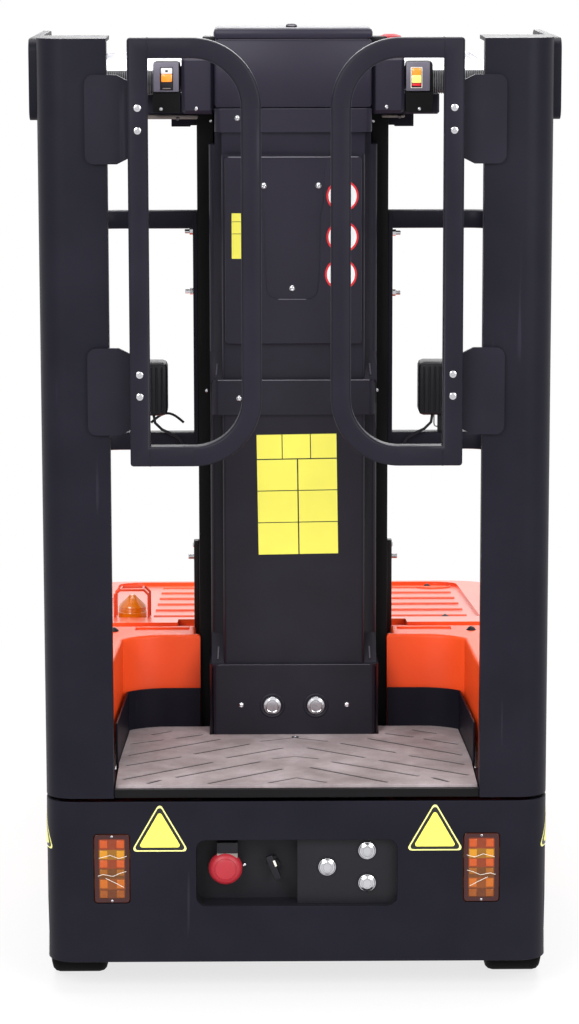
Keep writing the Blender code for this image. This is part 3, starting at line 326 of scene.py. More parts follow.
finishes = {
    "blackPaint": powderCoat("blackPaint", (0.0076, 0.0072, 0.0128), 0.42, 0.10),
    "gatePaint": powderCoat("gatePaint", (0.0097, 0.0086, 0.0150), 0.40, 0.13),
    "mastSteel": powderCoat("mastSteel", (0.0115, 0.0098, 0.0115), 0.42, 0.22, 0.4),
    "blackPlastic": mouldedPlastic("blackPlastic", (0.0075, 0.0072, 0.0098), 0.45, 0.2),
    "handlePlastic": mouldedPlastic("handlePlastic", (0.0032, 0.0028, 0.0034), 0.45, 0.12),
    "coverPlastic": upwardGreyingPlastic("coverPlastic", (0.0090, 0.0078, 0.0115), (0.0205, 0.0178, 0.0310),
                                 0.78, 1.20),
    # painted highlights: pale and dim beads laid along edges that catch the light
    "paleEdge": mouldedPlastic("paleEdge", (0.155, 0.145, 0.175), 0.30, 0.5, 0.1),
    "dimEdge": mouldedPlastic("dimEdge", (0.050, 0.045, 0.062), 0.34, 0.4, 0.1),
    "switchPlastic": mouldedPlastic("switchPlastic", (0.105, 0.095, 0.125), 0.42, 0.35, 0.2),
    "taupePlastic": mouldedPlastic("taupePlastic", (0.17, 0.145, 0.135), 0.5, 0.3, 0.2),
    "gripRubber": wornRubber("gripRubber", (0.06, 0.06, 0.068), (0.16, 0.16, 0.17), 0.55, 40.0),
    # painted shade: near-black rubber laid in the mat's grooves
    "grooveShadeRubber": wornRubber("grooveShadeRubber", (0.010, 0.009, 0.010), (0.030, 0.026, 0.026), 0.8, 60.0, 0.1),
    "orangeCover": glossCover("orangeCover", (1.0, 0.085, 0.011), 0.42, 0.25, 0.0),
    "hoodCover": glossCover("hoodCover", (1.0, 0.095, 0.015), 0.30, 0.5, 0.4),
    "guardWire": glossCover("guardWire", (0.80, 0.075, 0.020)),
    "matRubber": wornRubber("matRubber", (0.290, 0.238, 0.242), (0.50, 0.43, 0.45), 0.75, 13.0),
    "tyreRubber": wornRubber("tyreRubber", (0.0010, 0.0009, 0.0009), (0.0030, 0.0028, 0.0027), 0.75,
                             30.0, 0.04),
    "brightSteel": brushedMetal("brightSteel", (0.62, 0.62, 0.64), 0.3),
    "chrome": brushedMetal("chrome", (0.66, 0.66, 0.69), 0.16, (1.0, 1.0, 1.0)),
    "darkSteel": brushedMetal("darkSteel", (0.16, 0.15, 0.155), 0.35, (1.0, 1.0, 1.0)),
    "markerLens": lampLens("markerLens", 0.22),
    "markerCells": lampLens("markerCells", 0.48),
    "lampBorder": mouldedPlastic("lampBorder", (0.030, 0.006, 0.006), 0.3, 0.35, 0.1),
    "beaconAmber": clearPlastic("beaconAmber", (0.72, 0.19, 0.002), 0.10, 0.2),
    "redPlastic": mouldedPlastic("redPlastic", (0.30, 0.013, 0.022), 0.45, 0.4, 0.1),
    "trayMetal": brushedMetal("trayMetal", (0.74, 0.74, 0.78), 0.36, (0.04, 1.0, 1.0), 0.85),
    "signYellow": signPaint("signYellow", (1.0, 0.93, 0.12)),
    "signRim": signPaint("signRim", (0.90, 0.86, 0.30)),
    "signBlack": signPaint("signBlack", (0.010, 0.010, 0.010)),
    "signWhite": signPaint("signWhite", (0.98, 0.98, 0.99)),
    "signRed": signPaint("signRed", (0.80, 0.020, 0.030)),
    "switchWhite": signPaint("switchWhite", (0.82, 0.82, 0.84)),
    "switchOrange": clearPlastic("switchOrange", (1.0, 0.30, 0.02), 0.5, 0.3),
    "switchGlow": clearPlastic("switchGlow", (1.0, 0.72, 0.18), 0.8, 0.3),
    "paleFilm": signPaint("paleFilm", (0.85, 0.80, 0.70)),
    "workGlass": clearPlastic("workGlass", (0.62, 0.64, 0.66), 0.0, 0.08),
}


def bothSides(*stems):
    return tuple(f"{stem}_{name}" for stem in stems for name, side in sides)


nodeLooks = (      # finish, record slot, nodes
    ("blackPaint", "black_paint", ("rear_skirt", "base_frame", "tray_support") + bothSides(
        "post", "side_panel", "guard_rail", "toe_board", "caster_fork")),
    ("handlePlastic", "black_paint", ("platform_floor",)),
    ("gatePaint", "black_paint", bothSides("gate")),
    ("mastSteel", "mast_steel", ("mast_outer", "mast_middle", "mast_inner", "lift_cylinder",
                                 "battery_block") + bothSides("drive_unit")),
    ("coverPlastic", "black_plastic", ("mast_cover", "cover_panel", "console")),
    ("blackPlastic", "black_plastic", ("control_pocket",) + bothSides("work_lamp")),
    ("handlePlastic", "black_plastic", bothSides("handle")),
    ("orangeCover", "orange_cover", bothSides("side_cover")),
    ("hoodCover", "orange_cover", ("hood",)),
    ("guardWire", "guard_wire", ("beacon_guard",)),
    ("matRubber", "mat_rubber", ("floor_mat",)),
    ("tyreRubber", "tyre_rubber", bothSides("drive_wheel", "caster_wheel")),
    ("brightSteel", "bright_steel", ("lift_rod",)),
    ("markerLens", "amber_lens", bothSides("amber_lamp")),
    ("beaconAmber", "amber_lens", ("beacon",)),
    ("redPlastic", "red_plastic", ("emergency_stop", "console_stop")),
    ("trayMetal", "tray_metal", ("load_tray",)),
)
extraLooks = (      # record slot, finishes that no frame node wears
    ("black_plastic", ("switchPlastic", "taupePlastic", "gripRubber", "paleEdge", "dimEdge")),
    ("bright_steel", ("chrome", "darkSteel")),
    ("amber_lens", ("markerCells", "lampBorder", "switchOrange", "switchGlow")),
    ("guard_wire", ("signYellow", "signRim")),
    ("tray_metal", ("signWhite", "switchWhite", "paleFilm", "workGlass")),
    ("mat_rubber", ("grooveShadeRubber",)),
    ("black_paint", ("signBlack",)),
    ("red_plastic", ("signRed",)),
)
slotOf = {finish: slot for slot, worn in extraLooks for finish in worn}
slotOf.update({finish: slot for finish, slot, names in nodeLooks})


# Geometry Nodes

def treeNode(tree, kind, settings, values):
    made = tree.nodes.new(kind)
    for key, value in settings.items():
        setattr(made, key, value)
    for key, value in values.items():
        if isinstance(value, bpy.types.NodeSocket):
            tree.links.new(value, made.inputs[key])
        else:
            made.inputs[key].default_value = value
    return made


def startTree(name, inputs):
    tree = bpy.data.node_groups.new(name, "GeometryNodeTree")
    tree.interface.new_socket("Geometry", in_out="INPUT", socket_type="NodeSocketGeometry")
    for label, kind in inputs:
        tree.interface.new_socket(label, in_out="INPUT", socket_type=kind)
    tree.interface.new_socket("Geometry", in_out="OUTPUT", socket_type="NodeSocketGeometry")
    return tree, tree.nodes.new("NodeGroupInput").outputs, tree.nodes.new("NodeGroupOutput").inputs


def setInputs(modifier, values):
    for item in modifier.node_group.interface.items_tree:
        if item.in_out == "INPUT" and item.name in values:
            modifier[item.identifier] = values[item.name]


def smoothTree():
    # shades a solid smooth and keeps every edge sharper than the limit
    tree, entry, leave = startTree("smoothByAngle", (("Limit", "NodeSocketFloat"),))
    angle = treeNode(tree, "GeometryNodeInputMeshEdgeAngle", {}, {})
    above = treeNode(tree, "ShaderNodeMath", {"operation": "GREATER_THAN"}, {
        0: angle.outputs["Unsigned Angle"], 1: entry["Limit"]})
    faces = treeNode(tree, "GeometryNodeSetShadeSmooth", {}, {"Geometry": entry["Geometry"]})
    edges = treeNode(tree, "GeometryNodeSetShadeSmooth", {"domain": "EDGE"}, {
        "Geometry": faces.outputs["Geometry"], "Selection": above.outputs[0], "Shade Smooth": False})
    tree.links.new(edges.outputs["Geometry"], leave["Geometry"])
    return tree


def scatterTree():
    # one copy of the model at every point, turned and sized by the point, and spun by chance about its axis
    tree, entry, leave = startTree("scatterModel", (
        ("Model", "NodeSocketObject"), ("Finish", "NodeSocketMaterial"), ("Spin", "NodeSocketFloat"),
        ("Seed", "NodeSocketInt")))
    model = treeNode(tree, "GeometryNodeObjectInfo", {}, {"Object": entry["Model"]})
    facing, size = [treeNode(tree, "GeometryNodeInputNamedAttribute", {"data_type": "FLOAT_VECTOR"}, {
        "Name": label}) for label in ("turn", "size")]
    chance = treeNode(tree, "FunctionNodeRandomValue", {"data_type": "FLOAT"}, {
        3: entry["Spin"], "Seed": entry["Seed"]})
    about = treeNode(tree, "ShaderNodeCombineXYZ", {}, {"Z": chance.outputs[1]})
    spin = treeNode(tree, "FunctionNodeEulerToRotation", {}, {0: about.outputs[0]})
    turn = treeNode(tree, "FunctionNodeEulerToRotation", {}, {0: facing.outputs[0]})
    whole = treeNode(tree, "FunctionNodeRotateRotation", {"rotation_space": "LOCAL"}, {
        0: turn.outputs[0], 1: spin.outputs[0]})
    copies = treeNode(tree, "GeometryNodeInstanceOnPoints", {}, {
        "Points": entry["Geometry"], "Instance": model.outputs["Geometry"], "Rotation": whole.outputs[0],
        "Scale": size.outputs[0]})
    real = treeNode(tree, "GeometryNodeRealizeInstances", {}, {"Geometry": copies.outputs[0]})
    coat = treeNode(tree, "GeometryNodeSetMaterial", {}, {
        "Geometry": real.outputs[0], "Material": entry["Finish"]})
    tree.links.new(coat.outputs[0], leave["Geometry"])
    return tree


smoothing = smoothTree()
scattering = scatterTree()
edgeRadius = {"usual": 0.0011, "beacon_guard": 0.0003, "load_tray": 0.0008, "control_pocket": 0.0007,
              "emergency_stop": 0.0006, "hood": 0.0035, "side_cover_left": 0.004, "side_cover_right": 0.004,
              "cover_panel": 0.0020, "console": 0.0012}


def bevelEdges(thing, width):
    edge = thing.modifiers.new("edge", "BEVEL")
    edge.width = width
    edge.segments = 2
    edge.limit_method = "ANGLE"
    edge.angle_limit = math.radians(40.0)
    edge.harden_normals = True


def dressNodes():
    # every frame node gets its finish, and its edges a small real radius that catches the light
    for finish, slot, names in nodeLooks:
        for name in names:
            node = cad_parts[name]
            node.data.materials.clear()
            node.data.materials.append(finishes[finish])
            weld = node.modifiers.new("weld", "WELD")
            weld.merge_threshold = weldDistance
            flat = node.modifiers.new("flat", "DECIMATE")
            flat.decimate_type = "DISSOLVE"
            flat.angle_limit = math.radians(0.6)
            shade = node.modifiers.new("shade", "NODES")
            shade.node_group = smoothing
            setInputs(shade, {"Limit": math.radians(34.0)})
            bevelEdges(node, edgeRadius.get(name, edgeRadius["usual"]))


# Meshes of the detail pieces

def boxInto(shape, low, high, rounding=0.0, steps=2):
    low, high = Vector(low), Vector(high)
    corners = bmesh.ops.create_cube(shape, size=1.0)["verts"]
    bmesh.ops.scale(shape, vec=high - low, verts=corners)
    bmesh.ops.translate(shape, vec=(low + high) / 2, verts=corners)
    if rounding:
        edges = list({edge for corner in corners for edge in corner.link_edges})
        bmesh.ops.bevel(shape, geom=edges, offset=rounding, segments=steps, profile=0.5, affect="EDGES")


def placed(u, v, depth, facing):
    return {"X": (depth, u, v), "Y": (u, depth, v), "Z": (u, v, depth)}[facing]


def joinRings(shape, near, far):
    for here in range(len(near)):
        there = (here + 1) % len(near)
        shape.faces.new((near[there], near[here], far[here], far[there]))


def sweepInto(shape, rings):
    # a solid through rings of vertices, closed at both ends
    shape.faces.new(rings[0])
    shape.faces.new(rings[-1][::-1])
    for near, far in zip(rings, rings[1:]):
        joinRings(shape, near, far)


def prismInto(shape, outline, low, high, facing="Y"):
    sweepInto(shape, [[shape.verts.new(placed(u, v, depth, facing)) for u, v in outline]
                      for depth in (low, high)])


def frameInto(shape, outer, inner, low, high, facing="Y"):
    # a flat ring between two outlines of as many points
    rings = [[shape.verts.new(placed(u, v, depth, facing)) for u, v in line]
             for line, depth in ((outer, low), (inner, low), (inner, high), (outer, high))]
    for near, far in zip(rings, rings[1:] + rings[:1]):
        joinRings(shape, far, near)


def turnedInto(shape, centre, facing, profile, sideCount=24):
    # a lathe shape: the profile is (radius, height) from the top down; a radius of nought is a pole
    basis = Vector(facing).to_track_quat("Z", "Y").to_matrix()
    rings = []
    for radius, height in profile:
        count = 1 if radius < weldDistance else sideCount
        around = [math.tau * step / count for step in range(count)]
        rings.append([shape.verts.new(Vector(centre) + basis @ Vector((
            radius * math.cos(angle), radius * math.sin(angle), height))) for angle in around])
    for above, below in zip(rings, rings[1:]):
        for step in range(sideCount):
            here, there = step, (step + 1) % sideCount
            if len(above) == 1 and len(below) > 1:
                shape.faces.new((above[0], below[here], below[there]))
            elif len(below) == 1 and len(above) > 1:
                shape.faces.new((above[here], below[0], above[there]))
            elif len(above) > 1:
                shape.faces.new((above[here], below[here], below[there], above[there]))


def tubeInto(shape, points, radius, sideCount=10):
    points = [Vector(point) for point in points]
    rings = []
    across = None
    for index, point in enumerate(points):
        before, after = points[max(index - 1, 0)], points[min(index + 1, len(points) - 1)]
        along = (after - before).normalized()
        if across is None:
            across = along.orthogonal().normalized()
        else:
            across = (across - along * across.dot(along)).normalized()
        beside = along.cross(across)
        rings.append([shape.verts.new(point + radius * (
            across * math.cos(math.tau * step / sideCount) + beside * math.sin(math.tau * step / sideCount)))
            for step in range(sideCount)])
    sweepInto(shape, rings)


def rounded(corners, steps=5):
    # a closed outline from corners (u, v, radius)
    outline = []
    for index, (u, v, radius) in enumerate(corners):
        corner = Vector((u, v))
        if not radius:
            outline.append((u, v))
            continue
        before = (Vector(corners[index - 1][:2]) - corner).normalized()
        after = (Vector(corners[(index + 1) % len(corners)][:2]) - corner).normalized()
        half = before.angle(after) / 2
        middle = corner + (before + after).normalized() * radius / math.sin(half)
        first = corner + before * radius / math.tan(half) - middle
        last = corner + after * radius / math.tan(half) - middle
        sweep = math.atan2(first.cross(last), first.dot(last))
        for step in range(steps + 1):
            cos, sin = math.cos(sweep * step / steps), math.sin(sweep * step / steps)
            outline.append((middle.x + first.x * cos - first.y * sin,
                            middle.y + first.x * sin + first.y * cos))
    return outline


def oblong(lowU, lowV, highU, highV, radius=0.0, steps=5):
    corners = ((lowU, lowV), (highU, lowV), (highU, highV), (lowU, highV))
    return rounded([(u, v, radius) for u, v in corners], steps)


def circle(u, v, radius, steps=32):
    return [(u + radius * math.cos(math.tau * step / steps), v + radius * math.sin(math.tau * step / steps))
            for step in range(steps)]


def sideOf(side, values):
    # a low and a high X given for the right side, put on the asked side in rising order
    return sorted((side * values[0], side * values[1]))


def meshPiece(name, shape, finish, body, angle=35.0, bevel=0.0):
    # a bmesh becomes a finished piece: welded, facing out, shaded, riding on its body
    bmesh.ops.remove_doubles(shape, verts=shape.verts, dist=weldDistance)
    bmesh.ops.recalc_face_normals(shape, faces=shape.faces)
    mesh = bpy.data.meshes.new(name)
    shape.to_mesh(mesh)
    shape.free()
    return finishedPiece(name, mesh, finish, body, angle, bevel)


def finishedPiece(name, mesh, finish, body, angle=35.0, bevel=0.0):
    mesh.shade_smooth()
    mesh.set_sharp_from_angle(angle=math.radians(angle))
    mesh.materials.clear()
    mesh.materials.append(finishes[finish])
    piece = sceneObject(name, mesh)
    if bevel:
        bevelEdges(piece, bevel)
    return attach(piece, body)


def boxPiece(name, low, high, finish, body, rounding=0.0, steps=2):
    shape = bmesh.new()
    boxInto(shape, low, high, rounding, steps)
    return meshPiece(name, shape, finish, body)


def turnedPiece(name, centre, facing, profile, sideCount, finish, body, angle=35.0):
    shape = bmesh.new()
    turnedInto(shape, centre, facing, profile, sideCount)
    return meshPiece(name, shape, finish, body, angle)


def tubePiece(name, points, radius, sideCount, finish, body):
    shape = bmesh.new()
    tubeInto(shape, points, radius, sideCount)
    return meshPiece(name, shape, finish, body, 60.0)


def evaluatedMesh(thing):
    return bpy.data.meshes.new_from_object(thing.evaluated_get(bpy.context.evaluated_depsgraph_get()))


def sceneObject(name, mesh):
    thing = bpy.data.objects.new(name, mesh)
    bpy.context.scene.collection.objects.link(thing)
    return thing


def scattered(name, profiles, places, finish, body, spin=0.0):
    # copies of one turned model, given by its profiles; places are (point, facing, size)
    shape = bmesh.new()
    for profile, sideCount in profiles:
        turnedInto(shape, (0, 0, 0), upwards, profile, sideCount)
    bmesh.ops.remove_doubles(shape, verts=shape.verts, dist=weldDistance)
    bmesh.ops.recalc_face_normals(shape, faces=shape.faces)
    return scatteredShape(name, shape, places, finish, body, spin)


def scatteredShape(name, shape, places, finish, body, spin=0.0):
    mesh = bpy.data.meshes.new(name + "Model")
    shape.to_mesh(mesh)
    shape.free()
    model = sceneObject(name + "Model", mesh)
    cloud = bpy.data.meshes.new(name + "Points")
    cloud.from_pydata([point for point, facing, size in places], [], [])
    turns = [Vector(facing).to_track_quat("Z", "Y").to_euler() for point, facing, size in places]
    sizes = [size if isinstance(size, tuple) else (size, size, size) for point, facing, size in places]
    for label, rows in (("turn", turns), ("size", sizes)):
        layer = cloud.attributes.new(label, "FLOAT_VECTOR", "POINT")
        layer.data.foreach_set("vector", [number for row in rows for number in row])
    holder = sceneObject(name + "Points", cloud)
    spread = holder.modifiers.new("spread", "NODES")
    spread.node_group = scattering
    setInputs(spread, {"Model": model, "Finish": finishes[finish], "Spin": spin, "Seed": 11})
    mesh = evaluatedMesh(holder)
    bpy.data.objects.remove(holder)
    bpy.data.objects.remove(model)
    return finishedPiece(name, mesh, finish, body, 30.0)


# Screws and bolts

headShapes = {      # profiles (radius, height) of a head of radius 1, with how many sides they are turned in
    "dome": (([(0.0, 0.26), (0.34, 0.26), (0.40, 0.56), (0.62, 0.50), (0.86, 0.28), (1.0, 0.0),
               (0.0, 0.0)], 18),),
    "low": (([(0.0, 0.05), (0.36, 0.05), (0.44, 0.17), (0.80, 0.15), (0.95, 0.09), (1.0, 0.0),
              (0.0, 0.0)], 18),),
    "pan": (([(0.0, 0.46), (0.45, 0.44), (0.80, 0.28), (0.96, 0.10), (0.96, 0.0), (0.0, 0.0)], 16),),
    "hexagon": (([(0.0, 0.62), (0.78, 0.62), (0.90, 0.52), (0.90, 0.10), (0.0, 0.10)], 6),
                ([(0.0, 0.16), (1.15, 0.16), (1.20, 0.0), (0.0, 0.0)], 16)),
    "stud": (([(0.0, 2.3), (0.50, 2.3), (0.60, 2.2), (0.60, 0.0), (0.0, 0.0)], 12),
             ([(0.0, 1.0), (0.85, 1.0), (0.95, 0.88), (0.95, 0.0), (0.0, 0.0)], 6)),
    "peg": (([(0.0, 2.0), (0.80, 2.0), (0.95, 1.85), (0.95, 0.0), (0.0, 0.0)], 16),),
}
fastenerTable = (      # name, head, finish, body, facing, radius, places measured from the rear face
    ("panelScrews", "dome", "chrome", "platform", backwards, 0.0056, (
        (-0.0457, 0.338, 1.188), (0.0390, 0.338, 1.188), (-0.0020, 0.338, 1.029))),
    ("bandScrews", "dome", "chrome", "platform", backwards, 0.0050, (
        (-0.0860, 0.337, 1.292), (-0.0850, 0.337, 0.857))),
    ("uprightScrews", "dome", "chrome", "platform", backwards, 0.0033, (
        (-0.1365, 0.420, 0.858), (0.1325, 0.420, 0.858), (-0.1275, 0.420, 1.2835), (0.1255, 0.420, 1.2825))),
    ("footScrews", "dome", "chrome", "platform", backwards, 0.0048, (
        (-0.0835, 0.335, 0.367), (0.0835, 0.335, 0.367))),
    ("wingScrews", "dome", "chrome", "platform", backwards, 0.0035, (
        (-0.149, 0.352, 1.306), (0.144, 0.352, 1.308))),
    ("handleScrews", "dome", "brightSteel", "platform", backwards, 0.0030, (
        (-0.2036, 0.357, 1.305), (0.1950, 0.357, 1.3046))),
    ("pocketScrews", "dome", "chrome", "chassis", backwards, 0.0039, (
        (-0.1305, 0.0473, 0.187), (-0.079, 0.0473, 0.187))),
    ("lampScrews", "dome", "chrome", "chassis", backwards, 0.0021, tuple(
        (side * 0.2765, 0.0008, z) for name, side in sides for z in (0.2440, 0.1450))),
    ("railStuds_left", "stud", "chrome", "platform", (-1, 0, 0), 0.0056, (
        (-0.1573, 0.4385, 1.109), (-0.1573, 0.4385, 1.014))),
    ("railStuds_right", "stud", "chrome", "platform", (1, 0, 0), 0.0056, (
        (0.1573, 0.4385, 1.106), (0.1573, 0.4385, 1.011))),
    ("mastFeetBolts", "hexagon", "darkSteel", "chassis", upwards, 0.0080, tuple(
        (side * x, 0.645, 0.100) for name, side in sides for x in (0.070, 0.120))),
    ("casterBolts", "hexagon", "brightSteel", "chassis", upwards, 0.0065, tuple(
        (side * 0.257 + across, 1.285 + along, 0.184)
        for name, side in sides for across in (-0.030, 0.030) for along in (-0.045, 0.045))),
)
sideFasteners = (      # name, head, finish, body, radius, x, (y, z) places; one row a side, facing out
    ("mastPegs", "peg", "brightSteel", "chassis", 0.0045, 0.1600, ((0.497, 0.577),)),
    ("mastTopPegs", "pan", "brightSteel", "chassis", 0.0045, 0.1600, ((0.497, 0.596),)),
    ("sidePanelScrews", "low", "darkSteel", "platform", 0.0042, 0.3867, (
        (0.075, 1.325), (0.075, 1.403), (0.420, 1.325), (0.420, 1.403))),
    ("hoodScrews", "dome", "darkSteel", "chassis", 0.0055, 0.372, (
        (0.66, 0.105), (0.96, 0.105), (1.26, 0.105))),
)
gateBolts = {"x": 0.227, "radius": 0.0053, "levels": (1.328, 1.2957, 0.9435, 0.9115)}
looseTurn = math.tau / 6      # no two heads are left at the same angle


def fitFasteners():
    for name, head, finish, body, facing, radius, places in fastenerTable:
        rows = [((x, rear + y, z), facing, radius) for x, y, z in places]
        scattered(name, headShapes[head], rows, finish, body, looseTurn)
    for name, side in sides:
        for label, head, finish, body, radius, x, places in sideFasteners:
            rows = [((side * x, rear + y, z), (side, 0, 0), radius) for y, z in places]
            scattered(f"{label}_{name}", headShapes[head], rows, finish, body, looseTurn)
        rows = [((side * gateBolts["x"], gateFace, z), backwards, gateBolts["radius"])
                for z in gateBolts["levels"]]
        scattered(f"gateBolts_{name}", headShapes["low"], rows, "chrome", f"gate_{name}", looseTurn)


def carved(name, cutter):
    # a merged copy of a frame node without what the cutter covers
    bmesh.ops.recalc_face_normals(cutter, faces=cutter.faces)
    shape = bmesh.new()
    shape.from_mesh(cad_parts[name].data)
    bmesh.ops.remove_doubles(shape, verts=shape.verts, dist=weldDistance)
    bmesh.ops.dissolve_limit(shape, angle_limit=math.radians(0.5), verts=shape.verts, edges=shape.edges)
    things = []
    for label, body in (("cutter", cutter), ("blank", shape)):
        mesh = bpy.data.meshes.new(label)
        body.to_mesh(mesh)
        body.free()
        things.append(sceneObject(label, mesh))
    cut = things[1].modifiers.new("cut", "BOOLEAN")
    cut.operation = "DIFFERENCE"
    cut.solver = "EXACT"
    cut.object = things[0]
    result = bmesh.new()
    result.from_mesh(evaluatedMesh(things[1]))
    for thing in things:
        bpy.data.objects.remove(thing)
    bmesh.ops.dissolve_limit(result, angle_limit=math.radians(0.5), verts=result.verts, edges=result.edges)
    return result


# Gates: round bends in place of the frame's faceted ones, and weld beads where the tube meets its upright

gateBend = {"x": 0.1495, "radius": 0.085, "levels": ((1.328, 1), (0.9085, -1)), "tube": 0.029,
            "corner": 0.004, "steps": 24, "cutFrom": 0.0490, "cutHeight": 0.102, "cutDepth": 0.031, "overlap": 0.2}
gateWeld = {"x": 0.2126, "levels": ((1.3990, 1.4270), (0.8095, 0.8375)), "bead": 0.0011, "stand": 0.0004,
            "reach": 0.028, "corner": 0.004, "ripples": 9, "ripple": 0.0004}


def bendGates():
    half = gateBend["tube"] / 2
    section = oblong(-half, -half, half, half, gateBend["corner"], 4)
    for name, side in sides:
        cutter = bmesh.new()
        near, far = sideOf(side, (gateBend["cutFrom"], gateBend["x"]))
        for level, way in gateBend["levels"]:
            low, high = sorted((level, level + way * gateBend["cutHeight"]))
            boxInto(cutter, (near, gateFace - 0.001, low), (far, gateFace + gateBend["cutDepth"], high))
        shape = carved(f"gate_{name}", cutter)
        for level, way in gateBend["levels"]:
            rings = []
            for step in range(gateBend["steps"] + 1):
                share = step / gateBend["steps"]
                angle = math.radians((90.0 + 2 * gateBend["overlap"]) * share - gateBend["overlap"])
                ring = []
                for radial, inward in section:
                    reach = gateBend["radius"] + radial
                    ring.append(shape.verts.new((
                        side * (gateBend["x"] - reach * math.sin(angle)), gateFace + half + inward,
                        level + way * reach * math.cos(angle))))
                rings.append(ring)
            sweepInto(shape, rings)
        gate = meshPiece(f"gateFrame_{name}", shape, "gatePaint", f"gate_{name}", 34.0)
        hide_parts(f"gate_{name}")


def weldGates():
    reach, corner, ripples = gateWeld["reach"], gateWeld["corner"], gateWeld["ripples"]
    for name, side in sides:
        shape = bmesh.new()
        for low, high in gateWeld["levels"]:
            x, inset = side * gateWeld["x"], gateFace + gateWeld["stand"]
            points = [(x, inset + reach, high), (x, inset + corner, high), (x, inset, high - corner)]
            for step in range(1, ripples):
                height = high - corner - (high - low - 2 * corner) * step / ripples
                points.append((x + gateWeld["ripple"] * (-1) ** step, inset, height))
            points += [(x, inset, low + corner), (x, inset + corner, low), (x, inset + reach, low)]
            tubeInto(shape, points, gateWeld["bead"], 8)
        meshPiece(f"gateWeld_{name}", shape, "gatePaint", f"gate_{name}", 60.0)


# Skirt: warning triangles without a sign, marker lamps, the control pocket

triangle = {"base": 0.2213, "height": 0.0750, "halfBase": 0.0430, "corner": 0.0045,
            "places": (-0.2045, 0.2065), "layers": (      # finish, share of the full size, stands off
                ("signRim", 1.0, 0.0002), ("signBlack", 0.92, 0.0004), ("signYellow", 0.745, 0.0006))}
skirtCorner = {"flatEnd": 0.333, "radius": 0.042, "middle": 0.078, "step": 0.004, "cuts": 30}


def triangleOutline(middle, share):
    half, height, base = triangle["halfBase"], triangle["height"], triangle["base"]
    slant = math.hypot(half, height)
    inner = half * height / (half + slant)      # radius of the circle that fits inside
    centre = base + inner
    corners = ((middle - half, base), (middle + half, base), (middle, base + height))
    return rounded([(middle + (u - middle) * share, centre + (v - centre) * share, triangle["corner"] * share)
                    for u, v in corners])


def wrapRoundSkirt(shape, side):
    # bends a flat piece round the skirt's corner: X is the way along the skirt, -Y stands off it
    radius, flat = skirtCorner["radius"], skirtCorner["flatEnd"]
    for corner in shape.verts:
        along, stand = corner.co.x, -corner.co.y
        angle = min(along / radius, math.pi / 2)
        beyond = max(along - radius * math.pi / 2, 0.0)
        x = flat + (radius + stand) * math.sin(angle)
        y = rear + radius - (radius + stand) * math.cos(angle) + beyond
        corner.co = (side * x, y, corner.co.z)


def stickTriangles():
    for finish, share, thick in triangle["layers"]:
        shape = bmesh.new()
        for middle in triangle["places"]:
            prismInto(shape, triangleOutline(middle, share), rear - thick, rear + 0.0001)
        meshPiece("skirtTriangles_" + finish, shape, finish, "chassis")
        for name, side in sides:
            shape = bmesh.new()
            prismInto(shape, triangleOutline(skirtCorner["middle"], share), -thick, 0.0001)
            for step in range(1, skirtCorner["cuts"]):
                bmesh.ops.bisect_plane(shape, geom=shape.verts[:] + shape.edges[:] + shape.faces[:],
                                       plane_co=(skirtCorner["step"] * step, 0, 0), plane_no=(1, 0, 0))
            wrapRoundSkirt(shape, side)
            meshPiece(f"cornerTriangle_{name}_{finish}", shape, finish, "chassis")


markerLamp = {
    "x": 0.2765, "z": 0.1945, "half": 0.0258, "tall": 0.0520, "border": 0.0062,
    "columns": (0.2638, 0.2890), "cellHalf": 0.0060, "cellFace": 0.0006,
    "rows": ((0.1490, 0.1612), (0.1640, 0.1776), (0.1835, 0.1935), (0.1960, 0.2078), (0.2098, 0.2225),
             (0.2260, 0.2385)),
    # pale lines painted along the lens's creases as highlights
    "highlightCreases": (((0.2545, 0.2140), (0.2660, 0.2105), (0.2790, 0.2155), (0.2960, 0.2110)),
                ((0.2550, 0.1905), (0.2640, 0.1880), (0.2750, 0.1830), (0.2900, 0.1860), (0.2975, 0.1835)),
                ((0.2590, 0.1660), (0.2700, 0.1720), (0.2860, 0.1800)))}


def finishMarkerLamps():
    lamp = markerLamp
    for name, side in sides:
        shape = bmesh.new()
        x, z = side * lamp["x"], lamp["z"]
        outer = oblong(x - lamp["half"], z - lamp["tall"], x + lamp["half"], z + lamp["tall"], 0.0050)
        inner = oblong(x - lamp["half"] + lamp["border"], z - lamp["tall"] + lamp["border"],
                       x + lamp["half"] - lamp["border"], z + lamp["tall"] - lamp["border"], 0.0022)
        frameInto(shape, outer, inner, rear + 0.0002, rear + 0.0050)
        meshPiece(f"lampBorder_{name}", shape, "lampBorder", "chassis", bevel=0.0005)
        shape = bmesh.new()
        for middle in lamp["columns"]:
            near, far = side * middle - lamp["cellHalf"], side * middle + lamp["cellHalf"]
            for low, high in lamp["rows"]:
                boxInto(shape, (near, rear + lamp["cellFace"], low), (far, rear + 0.005, high), 0.0014, 3)
        meshPiece(f"lampCells_{name}", shape, "markerCells", "chassis")
        # painted highlights: pale lines along the lens's creases
        shape = bmesh.new()
        for highlightLine in lamp["highlightCreases"]:
            points = [(side * u, rear + 0.0002, v) for u, v in highlightLine]
            tubeInto(shape, points, 0.0004, 6)
        meshPiece(f"lampCreases_{name}", shape, "paleFilm", "chassis")


